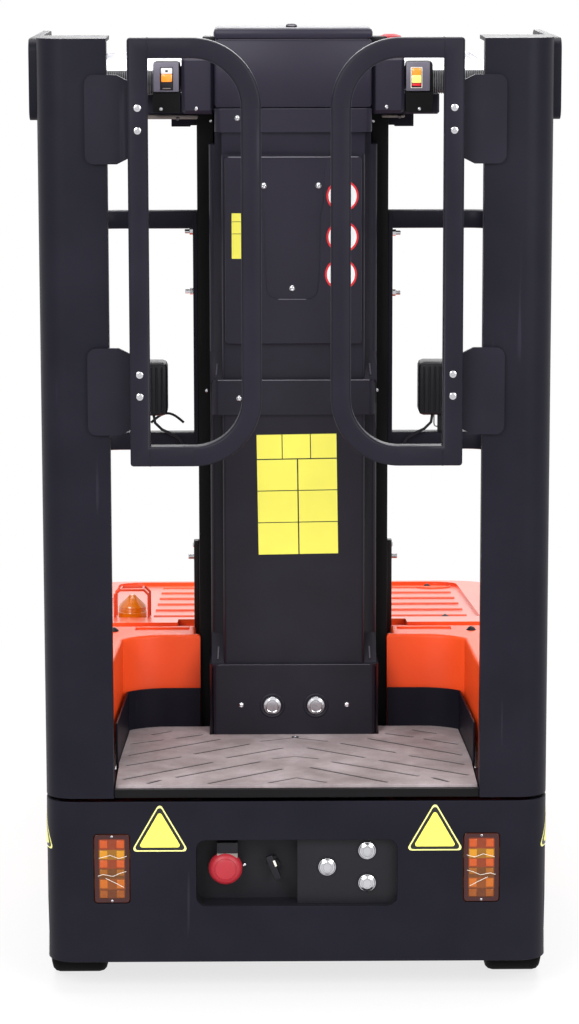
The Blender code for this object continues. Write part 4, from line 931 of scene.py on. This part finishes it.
pocket = {"backFace": 0.0473, "buttonFace": 0.0173, "stop": (-0.1068, 0.189), "key": (-0.0348, 0.189),
          "buttons": ((0.0457, 0.192), (0.1057, 0.217), (0.1057, 0.167)),
          "cap": [(0.0, 0.0062), (0.0058, 0.0061), (0.0064, 0.0052), (0.0080, 0.0050), (0.0086, 0.0059),
                  (0.0112, 0.0044), (0.0120, 0.0030), (0.0130, 0.0026), (0.0134, 0.0), (0.0, 0.0)],
          "groove": [(0.0150, 0.0340), (0.0154, 0.0347), (0.0166, 0.0343), (0.0170, 0.0333), (0.0160, 0.0325),
                     (0.0150, 0.0340)],
          "collar": [(0.0205, 0.0001), (0.0205, 0.0018), (0.0196, 0.0024), (0.0176, 0.0024), (0.0172, 0.0001),
                     (0.0205, 0.0001)],
          "hood": ((-0.120, 0.0160, 0.213), (-0.088, 0.0478, 0.230)),
          "hoodLip": ((-0.1195, 0.0180, 0.2055), (-0.0885, 0.0225, 0.2133)), "keyTurn": 21.0}
keyParts = (      # name, finish, low corner, high corner, rounding, measured from the lock's middle
    ("keyLever", "blackPlastic", (-0.0052, 0.0215, -0.0190), (0.0052, 0.0300, 0.0190), 0.0012),
    ("keyPlate", "paleFilm", (0.0030, 0.0208, 0.0010), (0.0062, 0.0220, 0.0105), 0.0004))


def behind(point):
    # a point whose Y is measured from the rear face
    return (point[0], rear + point[1], point[2])


def fillPocket():
    face = rear + pocket["buttonFace"]
    shape = bmesh.new()
    for x, z in pocket["buttons"]:
        turnedInto(shape, (x, face, z), backwards, pocket["cap"], 32)
    meshPiece("buttonCaps", shape, "chrome", "chassis", 30.0)
    shape = bmesh.new()
    for x, z in pocket["buttons"]:
        frameInto(shape, circle(x, z, 0.0156), circle(x, z, 0.0136), face - 0.0009, face + 0.0002)
    meshPiece("buttonCollars", shape, "blackPlastic", "chassis", bevel=0.0003)
    x, z = pocket["stop"]
    back = rear + pocket["backFace"]
    turnedPiece("stopGroove", (x, back - 0.0003, z), backwards, pocket["groove"], 32,
                "redPlastic", "chassis", 60.0)
    turnedPiece("stopCollar", (x, back, z), backwards, pocket["collar"], 32, "darkSteel", "chassis")
    for name, box, finish, rounding in (("stopHood", "hood", "blackPlastic", 0.0015),
                                        ("stopHoodLip", "hoodLip", "taupePlastic", 0.0008)):
        low, high = pocket[box]
        boxPiece(name, behind(low), behind(high), finish, "chassis", rounding)
    x, z = pocket["key"]
    turn = Matrix.Translation((x, 0, z)) @ Matrix.Rotation(math.radians(-pocket["keyTurn"]), 4, "Y")
    for name, finish, low, high, rounding in keyParts:
        shape = bmesh.new()
        boxInto(shape, behind(low), behind(high), rounding)
        bmesh.ops.transform(shape, matrix=turn, verts=shape.verts)
        meshPiece(name, shape, finish, "chassis")


# Mast cover: foot buttons, the raised sheet on its panel, plates and discs without a sign

footButtons = {"x": 0.0345, "z": 0.366, "face": 0.335,
               "cap": [(0.0, 0.0048), (0.0085, 0.0045), (0.0090, 0.0035), (0.0100, 0.0040), (0.0135, 0.0030),
                       (0.0150, 0.0010), (0.0150, 0.0), (0.0, 0.0)],
               "ring": [(0.0200, 0.0002), (0.0197, 0.0010), (0.0180, 0.0016), (0.0158, 0.0011), (0.0155, 0.0002),
                        (0.0200, 0.0002)]}
bandRecess = {"side": 0.125, "step": 0.1105, "shallow": 0.3468, "deep": 0.379, "low": 1.2330, "high": 1.2705}
sideBars = {"x": (0.1505, 0.1600), "y": (0.489, 0.505), "z": (0.450, 0.604)}
panelSheet = {"face": 0.338, "thick": 0.0024, "middle": -0.0018, "edge": 0.1053, "bottom": 0.9432, "top": 1.2322,
              "thinFrom": 1.165, "thinBy": 0.85, "pocketReach": 0.060,
              "pocket": ((0.0520, 1.2322, 0.0), (0.0482, 1.1560, 0.004), (0.0440, 1.1420, 0.006),
                         (0.0428, 1.0600, 0.03), (0.0390, 1.0120, 0.017))}
signTable = (      # name, finish, low x, high x, low z, high z, rear face, thickness, corner
    ("stripYellow", "signYellow", -0.0955, -0.0810, 1.0755, 1.1460, 0.3356, 0.0003, 0.0005),
    ("stripLine_1", "signBlack", -0.0955, -0.0810, 1.1325, 1.1332, 0.3356, 0.0005, 0.0),
    ("stripLine_2", "signBlack", -0.0955, -0.0810, 1.1138, 1.1145, 0.3356, 0.0005, 0.0),
)
chart = {"low": (-0.0560, 0.6065), "high": (0.0705, 0.7985), "face": 0.347, "lean": 0.85,
         "lines": (      # low x, low z, high x, high z, measured from the chart's lower left corner
             (0.0, 0.1515, 0.1265, 0.1532), (0.0, 0.1015, 0.1265, 0.1028), (0.0, 0.0510, 0.1265, 0.0523),
             (0.0398, 0.1532, 0.0412, 0.1920), (0.0842, 0.1532, 0.0856, 0.1920), (0.0632, 0.0, 0.0652, 0.1515))}
discs = {"places": ((0.0760, 1.1725), (0.0760, 1.1090), (0.0736, 1.0510)), "radius": 0.0248, "ring": 0.0030,
         "face": 0.3356}


def carveCover():
    # the moulding steps back between the upper band and the panel below it
    cutter = bmesh.new()
    cut = bandRecess
    half = [(cut["side"], 0.325), (cut["side"], cut["deep"]), (cut["step"], cut["deep"]),
            (cut["step"], cut["shallow"])]
    outline = [(-half[0][0], half[0][1])] + half + [(-x, y) for x, y in half[:0:-1]]
    prismInto(cutter, [(x, rear + y) for x, y in outline], cut["low"], cut["high"], "Z")
    cover = meshPiece("mastCoverShell", carved("mast_cover", cutter), "coverPlastic", "platform",
                      bevel=0.0018)
    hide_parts("mast_cover")
    for name, side in sides:
        near, far = sideOf(side, sideBars["x"])
        low, high = zip((near, far), sideBars["y"], sideBars["z"])
        boxPiece(f"mastSideBar_{name}", behind(low), behind(high), "mastSteel", "chassis", 0.0012)


def fitCoverPanel():
    sheet = panelSheet
    right = [(sheet["middle"] + u, v, radius) for u, v, radius in sheet["pocket"]]
    left = [(sheet["middle"] - u, v, radius) for u, v, radius in sheet["pocket"]]
    corners = [(-sheet["edge"], sheet["top"], 0.004), (-sheet["edge"], sheet["bottom"], 0.005),
               (sheet["edge"], sheet["bottom"], 0.005), (sheet["edge"], sheet["top"], 0.004),
               *right, *left[::-1]]
    shape = bmesh.new()
    face = rear + sheet["face"]
    prismInto(shape, rounded(corners, 6), face - sheet["thick"], face + 0.0001)
    bmesh.ops.bisect_plane(shape, geom=shape.verts[:] + shape.edges[:] + shape.faces[:],
                           plane_co=(0, 0, sheet["thinFrom"]), plane_no=(0, 0, 1))
    for corner in shape.verts:
        # the sheet thins out towards the top beside its pocket
        share = (corner.co.z - sheet["thinFrom"]) / (sheet["top"] - sheet["thinFrom"])
        outside = corner.co.y < face - 0.0003
        if share > 0.008 and outside and abs(corner.co.x - sheet["middle"]) < sheet["pocketReach"]:
            corner.co.y = face - sheet["thick"] * (1 - sheet["thinBy"] * share)
    bmesh.ops.triangulate(shape, faces=[polygon for polygon in shape.faces if len(polygon.verts) > 4])
    meshPiece("panelSheet", shape, "coverPlastic", "platform", bevel=0.0013)
    for name, side in sides:
        place = (side * footButtons["x"], rear + footButtons["face"], footButtons["z"])
        turnedPiece(f"footButton_{name}", place, backwards, footButtons["cap"], 36, "chrome",
                    "platform", 30.0)
        turnedPiece(f"footButtonRing_{name}", place, backwards, footButtons["ring"], 36, "coverPlastic",
                    "platform", 60.0)


# Painted highlights: pale beads along edges where the light catches them

# painted highlights on the cover's scoops
scoopHighlights = (      # name, corners of the right one, from the rear face
    ("scoopLow", ((0.1195, 0.3620, 0.4560), (0.1205, 0.3530, 0.4385))),
    ("scoopHigh", ((0.1190, 0.3640, 0.9080), (0.1205, 0.3530, 0.8915))))
paintedHighlightEdges = (      # name, finish, bead radius, corners from the rear face
    ("bandLowEdge", "paleEdge", 0.0009, ((-0.1180, 0.3378, 0.8853), (0.1180, 0.3378, 0.8853))),
    ("bandHighEdge", "dimEdge", 0.0007, ((-0.1130, 0.3376, 1.3062), (0.1130, 0.3376, 1.3062))),
    ("capEdge", "dimEdge", 0.0006, ((-0.1150, 0.3356, 1.4122), (0.1150, 0.3356, 1.4122))),
    ("panelEdge", "paleEdge", 0.0008, ((-0.1005, 0.3364, 1.2322), (0.1005, 0.3364, 1.2322))),
    ("pocketEdge", "paleEdge", 0.0008, ((-0.0230, 0.3364, 1.0118), (0.0195, 0.3364, 1.0118))),
    ("footBoxEdge", "paleEdge", 0.0011, ((-0.1190, 0.3362, 0.4312), (0.1190, 0.3362, 0.4312))),
)


def paintEdgeHighlights():
    # pale beads painted along the cover's edges and scoops as highlights
    rows = list(paintedHighlightEdges)
    for name, side in sides:
        rows += [(label + name.capitalize(), "dimEdge", 0.0014, [(side * x, y, z) for x, y, z in corners])
                 for label, corners in scoopHighlights]
    for name, finish, radius, corners in rows:
        tubePiece(name, [behind(corner) for corner in corners], radius, 10, finish, "platform")


def stickSigns():
    for name, finish, lowX, highX, lowZ, highZ, face, thick, corner in signTable:
        shape = bmesh.new()
        outline = oblong(lowX, lowZ, highX, highZ, corner, 3)
        prismInto(shape, outline, rear + face - thick, rear + face + 0.0001)
        meshPiece(name, shape, finish, "platform")
    lean = Matrix.Translation((chart["low"][0], 0, chart["low"][1])) @ Matrix.Rotation(
        math.radians(-chart["lean"]), 4, "Y")
    width, height = chart["high"][0] - chart["low"][0], chart["high"][1] - chart["low"][1]
    face = rear + chart["face"]
    shape = bmesh.new()
    prismInto(shape, oblong(0.0, 0.0, width, height, 0.0008, 3), face - 0.0003, face + 0.0001)
    bmesh.ops.transform(shape, matrix=lean, verts=shape.verts)
    meshPiece("chartYellow", shape, "signYellow", "platform")
    shape = bmesh.new()
    for lowX, lowZ, highX, highZ in chart["lines"]:
        boxInto(shape, (lowX, face - 0.00045, lowZ), (highX, face, highZ))
    line = 0.0007      # width of the chart's border line
    frameInto(shape, oblong(0.0, 0.0, width, height, 0.0008, 3),
              oblong(line, line, width - line, height - line, 0.0004, 3), face - 0.00045, face)
    bmesh.ops.transform(shape, matrix=lean, verts=shape.verts)
    meshPiece("chartLines", shape, "signBlack", "platform")
    face = rear + discs["face"]
    white, ring = bmesh.new(), bmesh.new()
    for x, z in discs["places"]:
        inside = discs["radius"] - discs["ring"] * 0.5
        prismInto(white, circle(x, z, inside, 48), face - 0.0003, face + 0.0001)
        frameInto(ring, circle(x, z, discs["radius"], 48), circle(x, z, discs["radius"] - discs["ring"], 48),
                  face - 0.0005, face + 0.0001)
    meshPiece("discFaces", white, "signWhite", "platform")
    meshPiece("discRings", ring, "signRed", "platform")


# Console: switch plates, rocker switches, ribbed grips, small strips

switchPieces = (      # name, side, low x, high x, low z, high z, stands off, rounding, finish
    ("plate", -1, 0.1760, 0.2152, 1.3318, 1.3768, 0.0012, 0.0011, "switchPlastic"),
    ("bezel", -1, 0.1846, 0.2048, 1.3340, 1.3695, 0.0024, 0.0011, "blackPlastic"),
    ("whiteKey", -1, 0.1858, 0.2034, 1.3592, 1.3683, 0.0040, 0.0012, "switchWhite"),
    ("slider", -1, 0.1862, 0.2030, 1.3470, 1.3590, 0.0046, 0.0014, "switchOrange"),
    ("darkKey", -1, 0.1862, 0.2030, 1.3350, 1.3466, 0.0034, 0.0010, "blackPlastic"),
    ("mark", -1, 0.1925, 0.1965, 1.3622, 1.3652, 0.0043, 0.0002, "signBlack"),
    ("lightBar", -1, 0.1885, 0.2010, 1.3362, 1.3378, 0.0038, 0.0004, "taupePlastic"),
    ("plate", 1, 0.1742, 0.2108, 1.3325, 1.3768, 0.0012, 0.0011, "switchPlastic"),
    ("bezel", 1, 0.1810, 0.1992, 1.3368, 1.3690, 0.0024, 0.0011, "paleFilm"),
    ("darkKey", 1, 0.1824, 0.1978, 1.3378, 1.3680, 0.0028, 0.0006, "blackPlastic"),
    ("orangeKey", 1, 0.1830, 0.1972, 1.3566, 1.3674, 0.0042, 0.0013, "switchOrange"),
    ("slider", 1, 0.1830, 0.1972, 1.3448, 1.3568, 0.0046, 0.0014, "switchGlow"),
    ("redBand", 1, 0.1834, 0.1968, 1.3402, 1.3440, 0.0040, 0.0006, "signRed"),
)
grip = {"start": 0.2170, "end": 0.3590, "rings": 44, "y": 0.377, "z": 1.3455,
        "ring": [(0.0172, 0.0011), (0.0186, 0.0006), (0.0186, -0.0006), (0.0172, -0.0011), (0.0172, 0.0011)]}
consoleStrips = (      # name, side, low x, high x, low z, high z
    ("left", -1, 0.1475, 0.2265, 1.2872, 1.2938), ("right", 1, 0.1380, 0.1745, 1.2890, 1.2940))


def evenSteps(start, end, count):
    return [start + (end - start) * step / (count - 1) for step in range(count)]


def dressConsole():
    face = rear + 0.352      # rear face of the switch boxes
    for name, side, lowX, highX, lowZ, highZ, stand, rounding, finish in switchPieces:
        near, far = sideOf(side, (lowX, highX))
        word = "left" if side < 0 else "right"
        boxPiece(f"switch_{name}_{word}", (near, face - stand, lowZ), (far, face + 0.002, highZ), finish,
                 "platform", rounding)
    for name, side in sides:
        rows = [((side * x, rear + grip["y"], grip["z"]), (1, 0, 0), 1.0)
                for x in evenSteps(grip["start"], grip["end"], grip["rings"])]
        scattered(f"gripRibs_{name}", ((grip["ring"], 20),), rows, "gripRubber", "platform")
    for name, side, lowX, highX, lowZ, highZ in consoleStrips:
        near, far = sideOf(side, (lowX, highX))
        boxPiece(f"consoleStrip_{name}", (near, rear + 0.3945, lowZ), (far, rear + 0.4130, highZ),
                 "taupePlastic", "platform", 0.0024, 3)
    scattered("stripKnobs", headShapes["pan"], [((x, rear + 0.3945, z), backwards, 0.0030) for x, z in (
        (-0.1792, 1.2880), (0.1660, 1.2905))], "darkSteel", "platform")
    turnedPiece("capKnobDome", (-0.0018, rear + 0.400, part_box("console")[1].z), upwards, [
        (0.0, 0.0), (0.0045, -0.0004), (0.0080, -0.0022), (0.0092, -0.0036), (0.0086, -0.0042),
        (0.0, -0.0042)], 28, "darkSteel", "platform", 40.0)
    for name, side in sides:
        near, far = sideOf(side, (0.1190, 0.1400 if side < 0 else 0.1460))
        boxPiece(f"capBlock_{name}", (near, rear + 0.380, 1.4035), (far, rear + 0.432, 1.4150), "blackPlastic",
                 "platform", 0.0028, 3)


# Platform mat: chevron grooves cut into its top, with near-black strips in them as painted shade

matGrooves = {"width": 0.0072, "depth": 0.0026, "fill": 0.0012, "lines": (      # X, and Y from the rear face
    ((-0.054, 0.290), (0.000, 0.314), (0.052, 0.288)), ((-0.035, 0.176), (-0.001, 0.191), (0.035, 0.175)),
    ((-0.041, 0.028), (0.000, 0.057), (0.045, 0.029)), ((-0.258, 0.201), (-0.118, 0.304)),
    ((-0.257, 0.277), (-0.208, 0.301)), ((-0.187, 0.312), (-0.146, 0.336)),
    ((-0.226, 0.338), (-0.196, 0.358)), ((-0.156, 0.209), (-0.071, 0.272)),
    ((-0.259, 0.137), (-0.177, 0.190)), ((-0.260, 0.052), (-0.128, 0.155)),
    ((-0.106, 0.183), (-0.018, 0.246)), ((-0.181, 0.063), (-0.054, 0.158)), ((-0.223, 0.026), (-0.204, 0.046)),
    ((-0.132, 0.025), (-0.020, 0.112)), ((0.117, 0.305), (0.258, 0.195)), ((0.190, 0.362), (0.226, 0.338)),
    ((0.146, 0.338), (0.188, 0.314)), ((0.205, 0.301), (0.256, 0.265)), ((0.072, 0.275), (0.156, 0.213)),
    ((0.177, 0.192), (0.258, 0.136)), ((0.129, 0.163), (0.260, 0.070)), ((0.019, 0.246), (0.107, 0.181)),
    ((0.055, 0.156), (0.184, 0.065)), ((0.205, 0.055), (0.228, 0.030)), ((0.022, 0.121), (0.136, 0.028)))}
matScrew = (0.0015, 0.3165)


def grooveOutline(points, width):
    # a strip of one width along a line of points, mitred where it bends
    flat = [Vector(point) for point in points]
    left, right = [], []
    for index, point in enumerate(flat):
        before, after = flat[max(index - 1, 0)], flat[min(index + 1, len(flat) - 1)]
        along = (after - before).normalized()
        beside = Vector((-along.y, along.x)) * width / 2
        left.append(tuple(point + beside))
        right.append(tuple(point - beside))
    tip, tail = flat[-1] - flat[-2], flat[0] - flat[1]
    end = flat[-1] + tip.normalized() * width * 0.4
    start = flat[0] + tail.normalized() * width * 0.4
    return left + [tuple(end)] + right[::-1] + [tuple(start)]


def cutMat():
    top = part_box("floor_mat")[1].z
    cutter, fill = bmesh.new(), bmesh.new()
    for line in matGrooves["lines"]:
        outline = grooveOutline([(x, rear + y) for x, y in line], matGrooves["width"])
        prismInto(cutter, outline, top - matGrooves["depth"], top + 0.002, "Z")
        # each groove gets a near-black strip below the top as painted shade
        outline = grooveOutline([(x, rear + y) for x, y in line], matGrooves["width"] - 0.0004)
        prismInto(fill, outline, top - matGrooves["depth"] - 0.0002, top - matGrooves["fill"], "Z")
    mat = meshPiece("groovedMat", carved("floor_mat", cutter), "matRubber", "platform", bevel=0.0006)
    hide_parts("floor_mat")
    meshPiece("matGrooveFloors", fill, "grooveShadeRubber", "platform")
    shape = bmesh.new()
    x, y = matScrew
    frameInto(shape, circle(x, rear + y, 0.0058, 24), circle(x, rear + y, 0.0034, 24),
              top - 0.0005, top + 0.0003, "Z")
    meshPiece("matScrewHole", shape, "blackPlastic", "platform")
    scattered("matScrew", headShapes["dome"], [((x, rear + y, top), upwards, 0.0032)], "chrome", "platform")


# Hood and covers: knobs, the arc ridge, the beacon's band

hoodSlope = {"start": 0.6005, "high": 0.446, "end": 0.75, "low": 0.347, "recess": 0.007}
knobTable = (      # name, x, way from the rear face, radius, sits on
    ("hoodFar", 0.263, 1.400, 0.0078, "recess"), ("hoodNear", 0.260, 0.722, 0.0105, "recess"),
    ("coverLeft", -0.288, 0.434, 0.0078, "cover"), ("coverRight", 0.286, 0.434, 0.0078, "cover"))
knobProfiles = (      # part of the knob, finish, profile for a knob of radius 1
    ("Knob", "blackPlastic", [(0.0, 0.62), (0.30, 0.60), (0.55, 0.48), (0.82, 0.22), (1.0, 0.06), (1.0, -0.04),
                              (0.0, -0.04)]),
    ("KnobPin", "darkSteel", [(0.0, 0.76), (0.16, 0.72), (0.22, 0.62), (0.22, 0.40), (0.0, 0.40)]))
arcRidge = {"x": 0.272, "y": 1.398, "across": 0.034, "deep": 0.042, "radius": 0.0022}


def hoodTop(y):
    # height of the hood's falling top at that way from the rear face
    share = (rear + y - (rear + hoodSlope["start"])) / (hoodSlope["end"] - (rear + hoodSlope["start"]))
    return hoodSlope["high"] + share * (hoodSlope["low"] - hoodSlope["high"])


def fitKnobs():
    for name, x, y, radius, seat in knobTable:
        z = hoodTop(y) - hoodSlope["recess"] if seat == "recess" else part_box("side_cover_left")[1].z
        for word, finish, profile in knobProfiles:
            sized = [(across * radius, height * radius * 1.15) for across, height in profile]
            turnedPiece(name + word, (x, rear + y, z), upwards, sized, 24, finish, "chassis")
    points = []
    for step in range(25):
        angle = math.pi + math.pi * step / 24
        y = arcRidge["y"] + arcRidge["deep"] * math.sin(angle)
        points.append((arcRidge["x"] + arcRidge["across"] * math.cos(angle), rear + y,
                       hoodTop(y) - hoodSlope["recess"] + arcRidge["radius"] * 0.3))
    tubePiece("hoodArcRidge", points, arcRidge["radius"], 10, "orangeCover", "chassis")
    low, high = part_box("beacon")
    x, y = (low.x + high.x) / 2, (low.y + high.y) / 2
    shape = bmesh.new()
    turnedInto(shape, (x, y, low.z), upwards, [
        (0.0236, 0.0190), (0.0240, 0.0196), (0.0236, 0.0203), (0.0226, 0.0203), (0.0226, 0.0190),
        (0.0236, 0.0190)], 32)
    for level in (0.0125, 0.0158):
        turnedInto(shape, (x, y, low.z + level), upwards, [
            (0.0235, 0.0), (0.0235, 0.0007), (0.0226, 0.0007), (0.0226, 0.0), (0.0235, 0.0)], 32)
    meshPiece("beaconBands", shape, "beaconAmber", "chassis", 60.0)


# Work lamps: cooling fins behind, glass in front, and the wire under the right one

workLamp = {"x": (0.199, 0.285), "back": 0.420, "front": 0.475, "z": (0.817, 0.902), "fins": 9}


def finishWorkLamps():
    lamp = workLamp
    for name, side in sides:
        fin = bmesh.new()
        boxInto(fin, (-0.0011, -0.0050, -0.0365), (0.0011, 0.0030, 0.0365), 0.0006, 1)
        middle = sum(lamp["z"]) / 2
        rows = [((side * x, rear + lamp["back"], middle), upwards, 1.0)
                for x in evenSteps(lamp["x"][0] + 0.008, lamp["x"][1] - 0.008, lamp["fins"])]
        scatteredShape(f"lampFins_{name}", fin, rows, "blackPlastic", "platform")
        near, far = sideOf(side, lamp["x"])
        shape = bmesh.new()
        outer = oblong(near + 0.002, lamp["z"][0] + 0.002, far - 0.002, lamp["z"][1] - 0.002, 0.008)
        inner = oblong(near + 0.008, lamp["z"][0] + 0.008, far - 0.008, lamp["z"][1] - 0.008, 0.005)
        frameInto(shape, outer, inner, rear + lamp["front"] - 0.001, rear + lamp["front"] + 0.004)
        meshPiece(f"workLampRim_{name}", shape, "blackPlastic", "platform", bevel=0.0008)
        shape = bmesh.new()
        prismInto(shape, inner, rear + lamp["front"] - 0.0005, rear + lamp["front"] + 0.0015)
        meshPiece(f"workLampGlass_{name}", shape, "workGlass", "platform", bevel=0.0004)
        led = [((side * (lamp["x"][0] + 0.0215 + 0.0215 * column), rear + lamp["front"] + 0.0014,
                 lamp["z"][0] + 0.0215 + 0.0210 * row), (0, 1, 0), 0.0082)
               for column in range(3) for row in range(3)]
        scattered(f"workLampCells_{name}", headShapes["pan"], led, "chrome", "platform")
    wire = [(x, rear + 0.447, z) for x, z in (
        (0.2250, 0.8170), (0.2250, 0.8000), (0.2262, 0.7970), (0.2290, 0.7958), (0.2380, 0.7958), (0.2400, 0.7975))]
    tubePiece("workLampWire", wire, 0.0011, 8, "brightSteel", "platform")
    loop = [(-0.2260 + 0.0520 * share, rear + 0.448, 0.8030 + 0.0150 * math.sin(math.pi * share))
            for share in evenSteps(0.0, 1.0, 17)]
    tubePiece("workLampLoop", loop, 0.0020, 10, "blackPlastic", "platform")


# Wheels and drive motors

driveWheel = {"hubX": 0.3592, "boltRing": 0.0345, "bolts": 5,
              "hub": [(0.0, 0.0078), (0.0150, 0.0074), (0.0185, 0.0052), (0.0200, 0.0014), (0.0330, 0.0012),
                      (0.0500, 0.0022), (0.0530, 0.0010), (0.0535, -0.0004), (0.0, -0.0004)]}
motorFins = {"start": 0.1260, "end": 0.2320, "count": 14,
             "ring": [(0.0495, 0.0012), (0.0525, 0.0009), (0.0525, -0.0009), (0.0495, -0.0012), (0.0495, 0.0012)]}


def finishWheels():
    for name, side in sides:
        low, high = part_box(f"drive_wheel_{name}")
        y, z = (low.y + high.y) / 2, (low.z + high.z) / 2
        facing = (side, 0, 0)
        turnedPiece(f"wheelHub_{name}", (side * driveWheel["hubX"], y, z), facing, driveWheel["hub"], 40,
                    "darkSteel", f"drive_wheel_{name}", 30.0)
        rows = []
        for step in range(driveWheel["bolts"]):
            angle = math.tau * (step + 0.25) / driveWheel["bolts"]
            rows.append(((side * (driveWheel["hubX"] + 0.0012), y + driveWheel["boltRing"] * math.cos(angle),
                          z + driveWheel["boltRing"] * math.sin(angle)), facing, 0.0055))
        scattered(f"wheelBolts_{name}", headShapes["hexagon"], rows, "brightSteel", f"drive_wheel_{name}")
        rows = [((side * x, y, z), (1, 0, 0), 1.0)
                for x in evenSteps(motorFins["start"], motorFins["end"], motorFins["count"])]
        scattered(f"motorFins_{name}", ((motorFins["ring"], 28),), rows, "mastSteel", "chassis")
        low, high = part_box(f"caster_wheel_{name}")
        middle = (low + high) / 2
        half = (high.x - low.x) / 2
        shape = bmesh.new()
        for face in (-1, 1):
            turnedInto(shape, (middle.x + face * half, middle.y, middle.z), (face, 0, 0), [
                (0.0170, 0.0001), (0.0165, 0.0014), (0.0105, 0.0016), (0.0100, 0.0001), (0.0170, 0.0001)], 28)
        meshPiece(f"casterBearing_{name}", shape, "brightSteel", f"caster_wheel_{name}")


# Lift cylinder gland, tray rim

def finishLift():
    low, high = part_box("lift_cylinder")
    x, y = (low.x + high.x) / 2, (low.y + high.y) / 2
    turnedPiece("cylinderGland", (x, y, high.z), upwards, [
        (0.0195, 0.0), (0.0200, 0.0060), (0.0260, 0.0075), (0.0300, 0.0050), (0.0310, -0.0200), (0.0302, -0.0220),
        (0.0195, -0.0220), (0.0195, 0.0)], 36, "darkSteel", "chassis", 30.0)
    low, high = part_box("load_tray")
    inset, corner = 0.0012, 0.006
    rim = [(x, y, high.z) for x, y in (
        (low.x + inset, low.y), (low.x + inset, high.y - corner), (low.x + corner, high.y - inset),
        (high.x - corner, high.y - inset), (high.x - inset, high.y - corner), (high.x - inset, low.y))]
    tubePiece("trayRim", rim, 0.0018, 10, "trayMetal", "platform")
    shape = bmesh.new()
    for step in range(5):
        y = low.y + 0.06 + step * 0.085
        boxInto(shape, (low.x + 0.04, y - 0.006, low.z + 0.0024),
                (high.x - 0.04, y + 0.006, low.z + 0.0040), 0.0007)
    meshPiece("trayBeads", shape, "trayMetal", "platform")


def layFloor():
    # pale studio floor that turns pure white away from the object
    reach = 30.0
    shape = bmesh.new()
    bmesh.ops.create_grid(shape, x_segments=8, y_segments=8, size=reach)
    mesh = bpy.data.meshes.new("floor")
    shape.to_mesh(mesh)
    shape.free()
    floor = sceneObject("floor", mesh)
    paint = Finish("floorPaint", (0.90, 0.90, 0.905), roughness=0.6, specular=0.2)
    grain = paint.noise(3.0, 3.0)
    paint.set("Roughness", grain * 0.2 + 0.5)
    distance = paint.node("ShaderNodeVectorMath", {"operation": "LENGTH"}, {0: paint.place}, "Value")
    white = paint.node("ShaderNodeEmission", {}, {"Color": (1.0, 1.0, 1.0, 1.0), "Strength": 1.0})
    seen = paint.node("ShaderNodeLightPath", {}, {}, "Is Camera Ray")
    glossy = paint.node("ShaderNodeLightPath", {}, {}, "Is Glossy Ray")
    share = ((distance - 0.7) / 1.2).clamped() * 0.25 + 0.75
    mix = paint.node("ShaderNodeMixShader", {}, {
        0: (seen + glossy).clamped() * share, 1: Wire(paint, paint.shader.outputs[0]), 2: white})
    paint.tree.links.new(mix.socket, paint.output.inputs["Surface"])
    mesh.materials.append(paint.material)


def lightTheWorld():
    # seen directly or mirrored the world is white; as a light it stays plain and soft
    world = bpy.data.worlds.new("studio")
    bpy.context.scene.world = world
    world.use_nodes = True
    tree = world.node_tree
    background = tree.nodes["Background"]
    background.inputs["Color"].default_value = (1.0, 1.0, 1.0, 1.0)
    path = tree.nodes.new("ShaderNodeLightPath")
    total = path.outputs["Is Camera Ray"]
    for name in ("Is Glossy Ray", "Is Transmission Ray"):
        add = tree.nodes.new("ShaderNodeMath")
        add.operation = "MAXIMUM"
        tree.links.new(total, add.inputs[0])
        tree.links.new(path.outputs[name], add.inputs[1])
        total = add.outputs[0]
    strength = tree.nodes.new("ShaderNodeMapRange")
    strength.inputs["To Min"].default_value = 0.55
    strength.inputs["To Max"].default_value = 1.0
    tree.links.new(total, strength.inputs["Value"])
    tree.links.new(strength.outputs[0], background.inputs["Strength"])


bpy.context.scene.view_settings.view_transform = "Standard"
placeCamera()
lightTheScene()
lightTheWorld()
layFloor()
print("stage set")
dressNodes()
print("frame nodes finished")
fitFasteners()
bendGates()
weldGates()
print("screws and welds fitted")
stickTriangles()
finishMarkerLamps()
fillPocket()
print("skirt finished")
carveCover()
fitCoverPanel()
paintEdgeHighlights()
stickSigns()
dressConsole()
print("mast cover and console finished")
cutMat()
print("mat cut")
fitKnobs()
finishWorkLamps()
finishWheels()
finishLift()
print("hood, lamps and wheels finished")
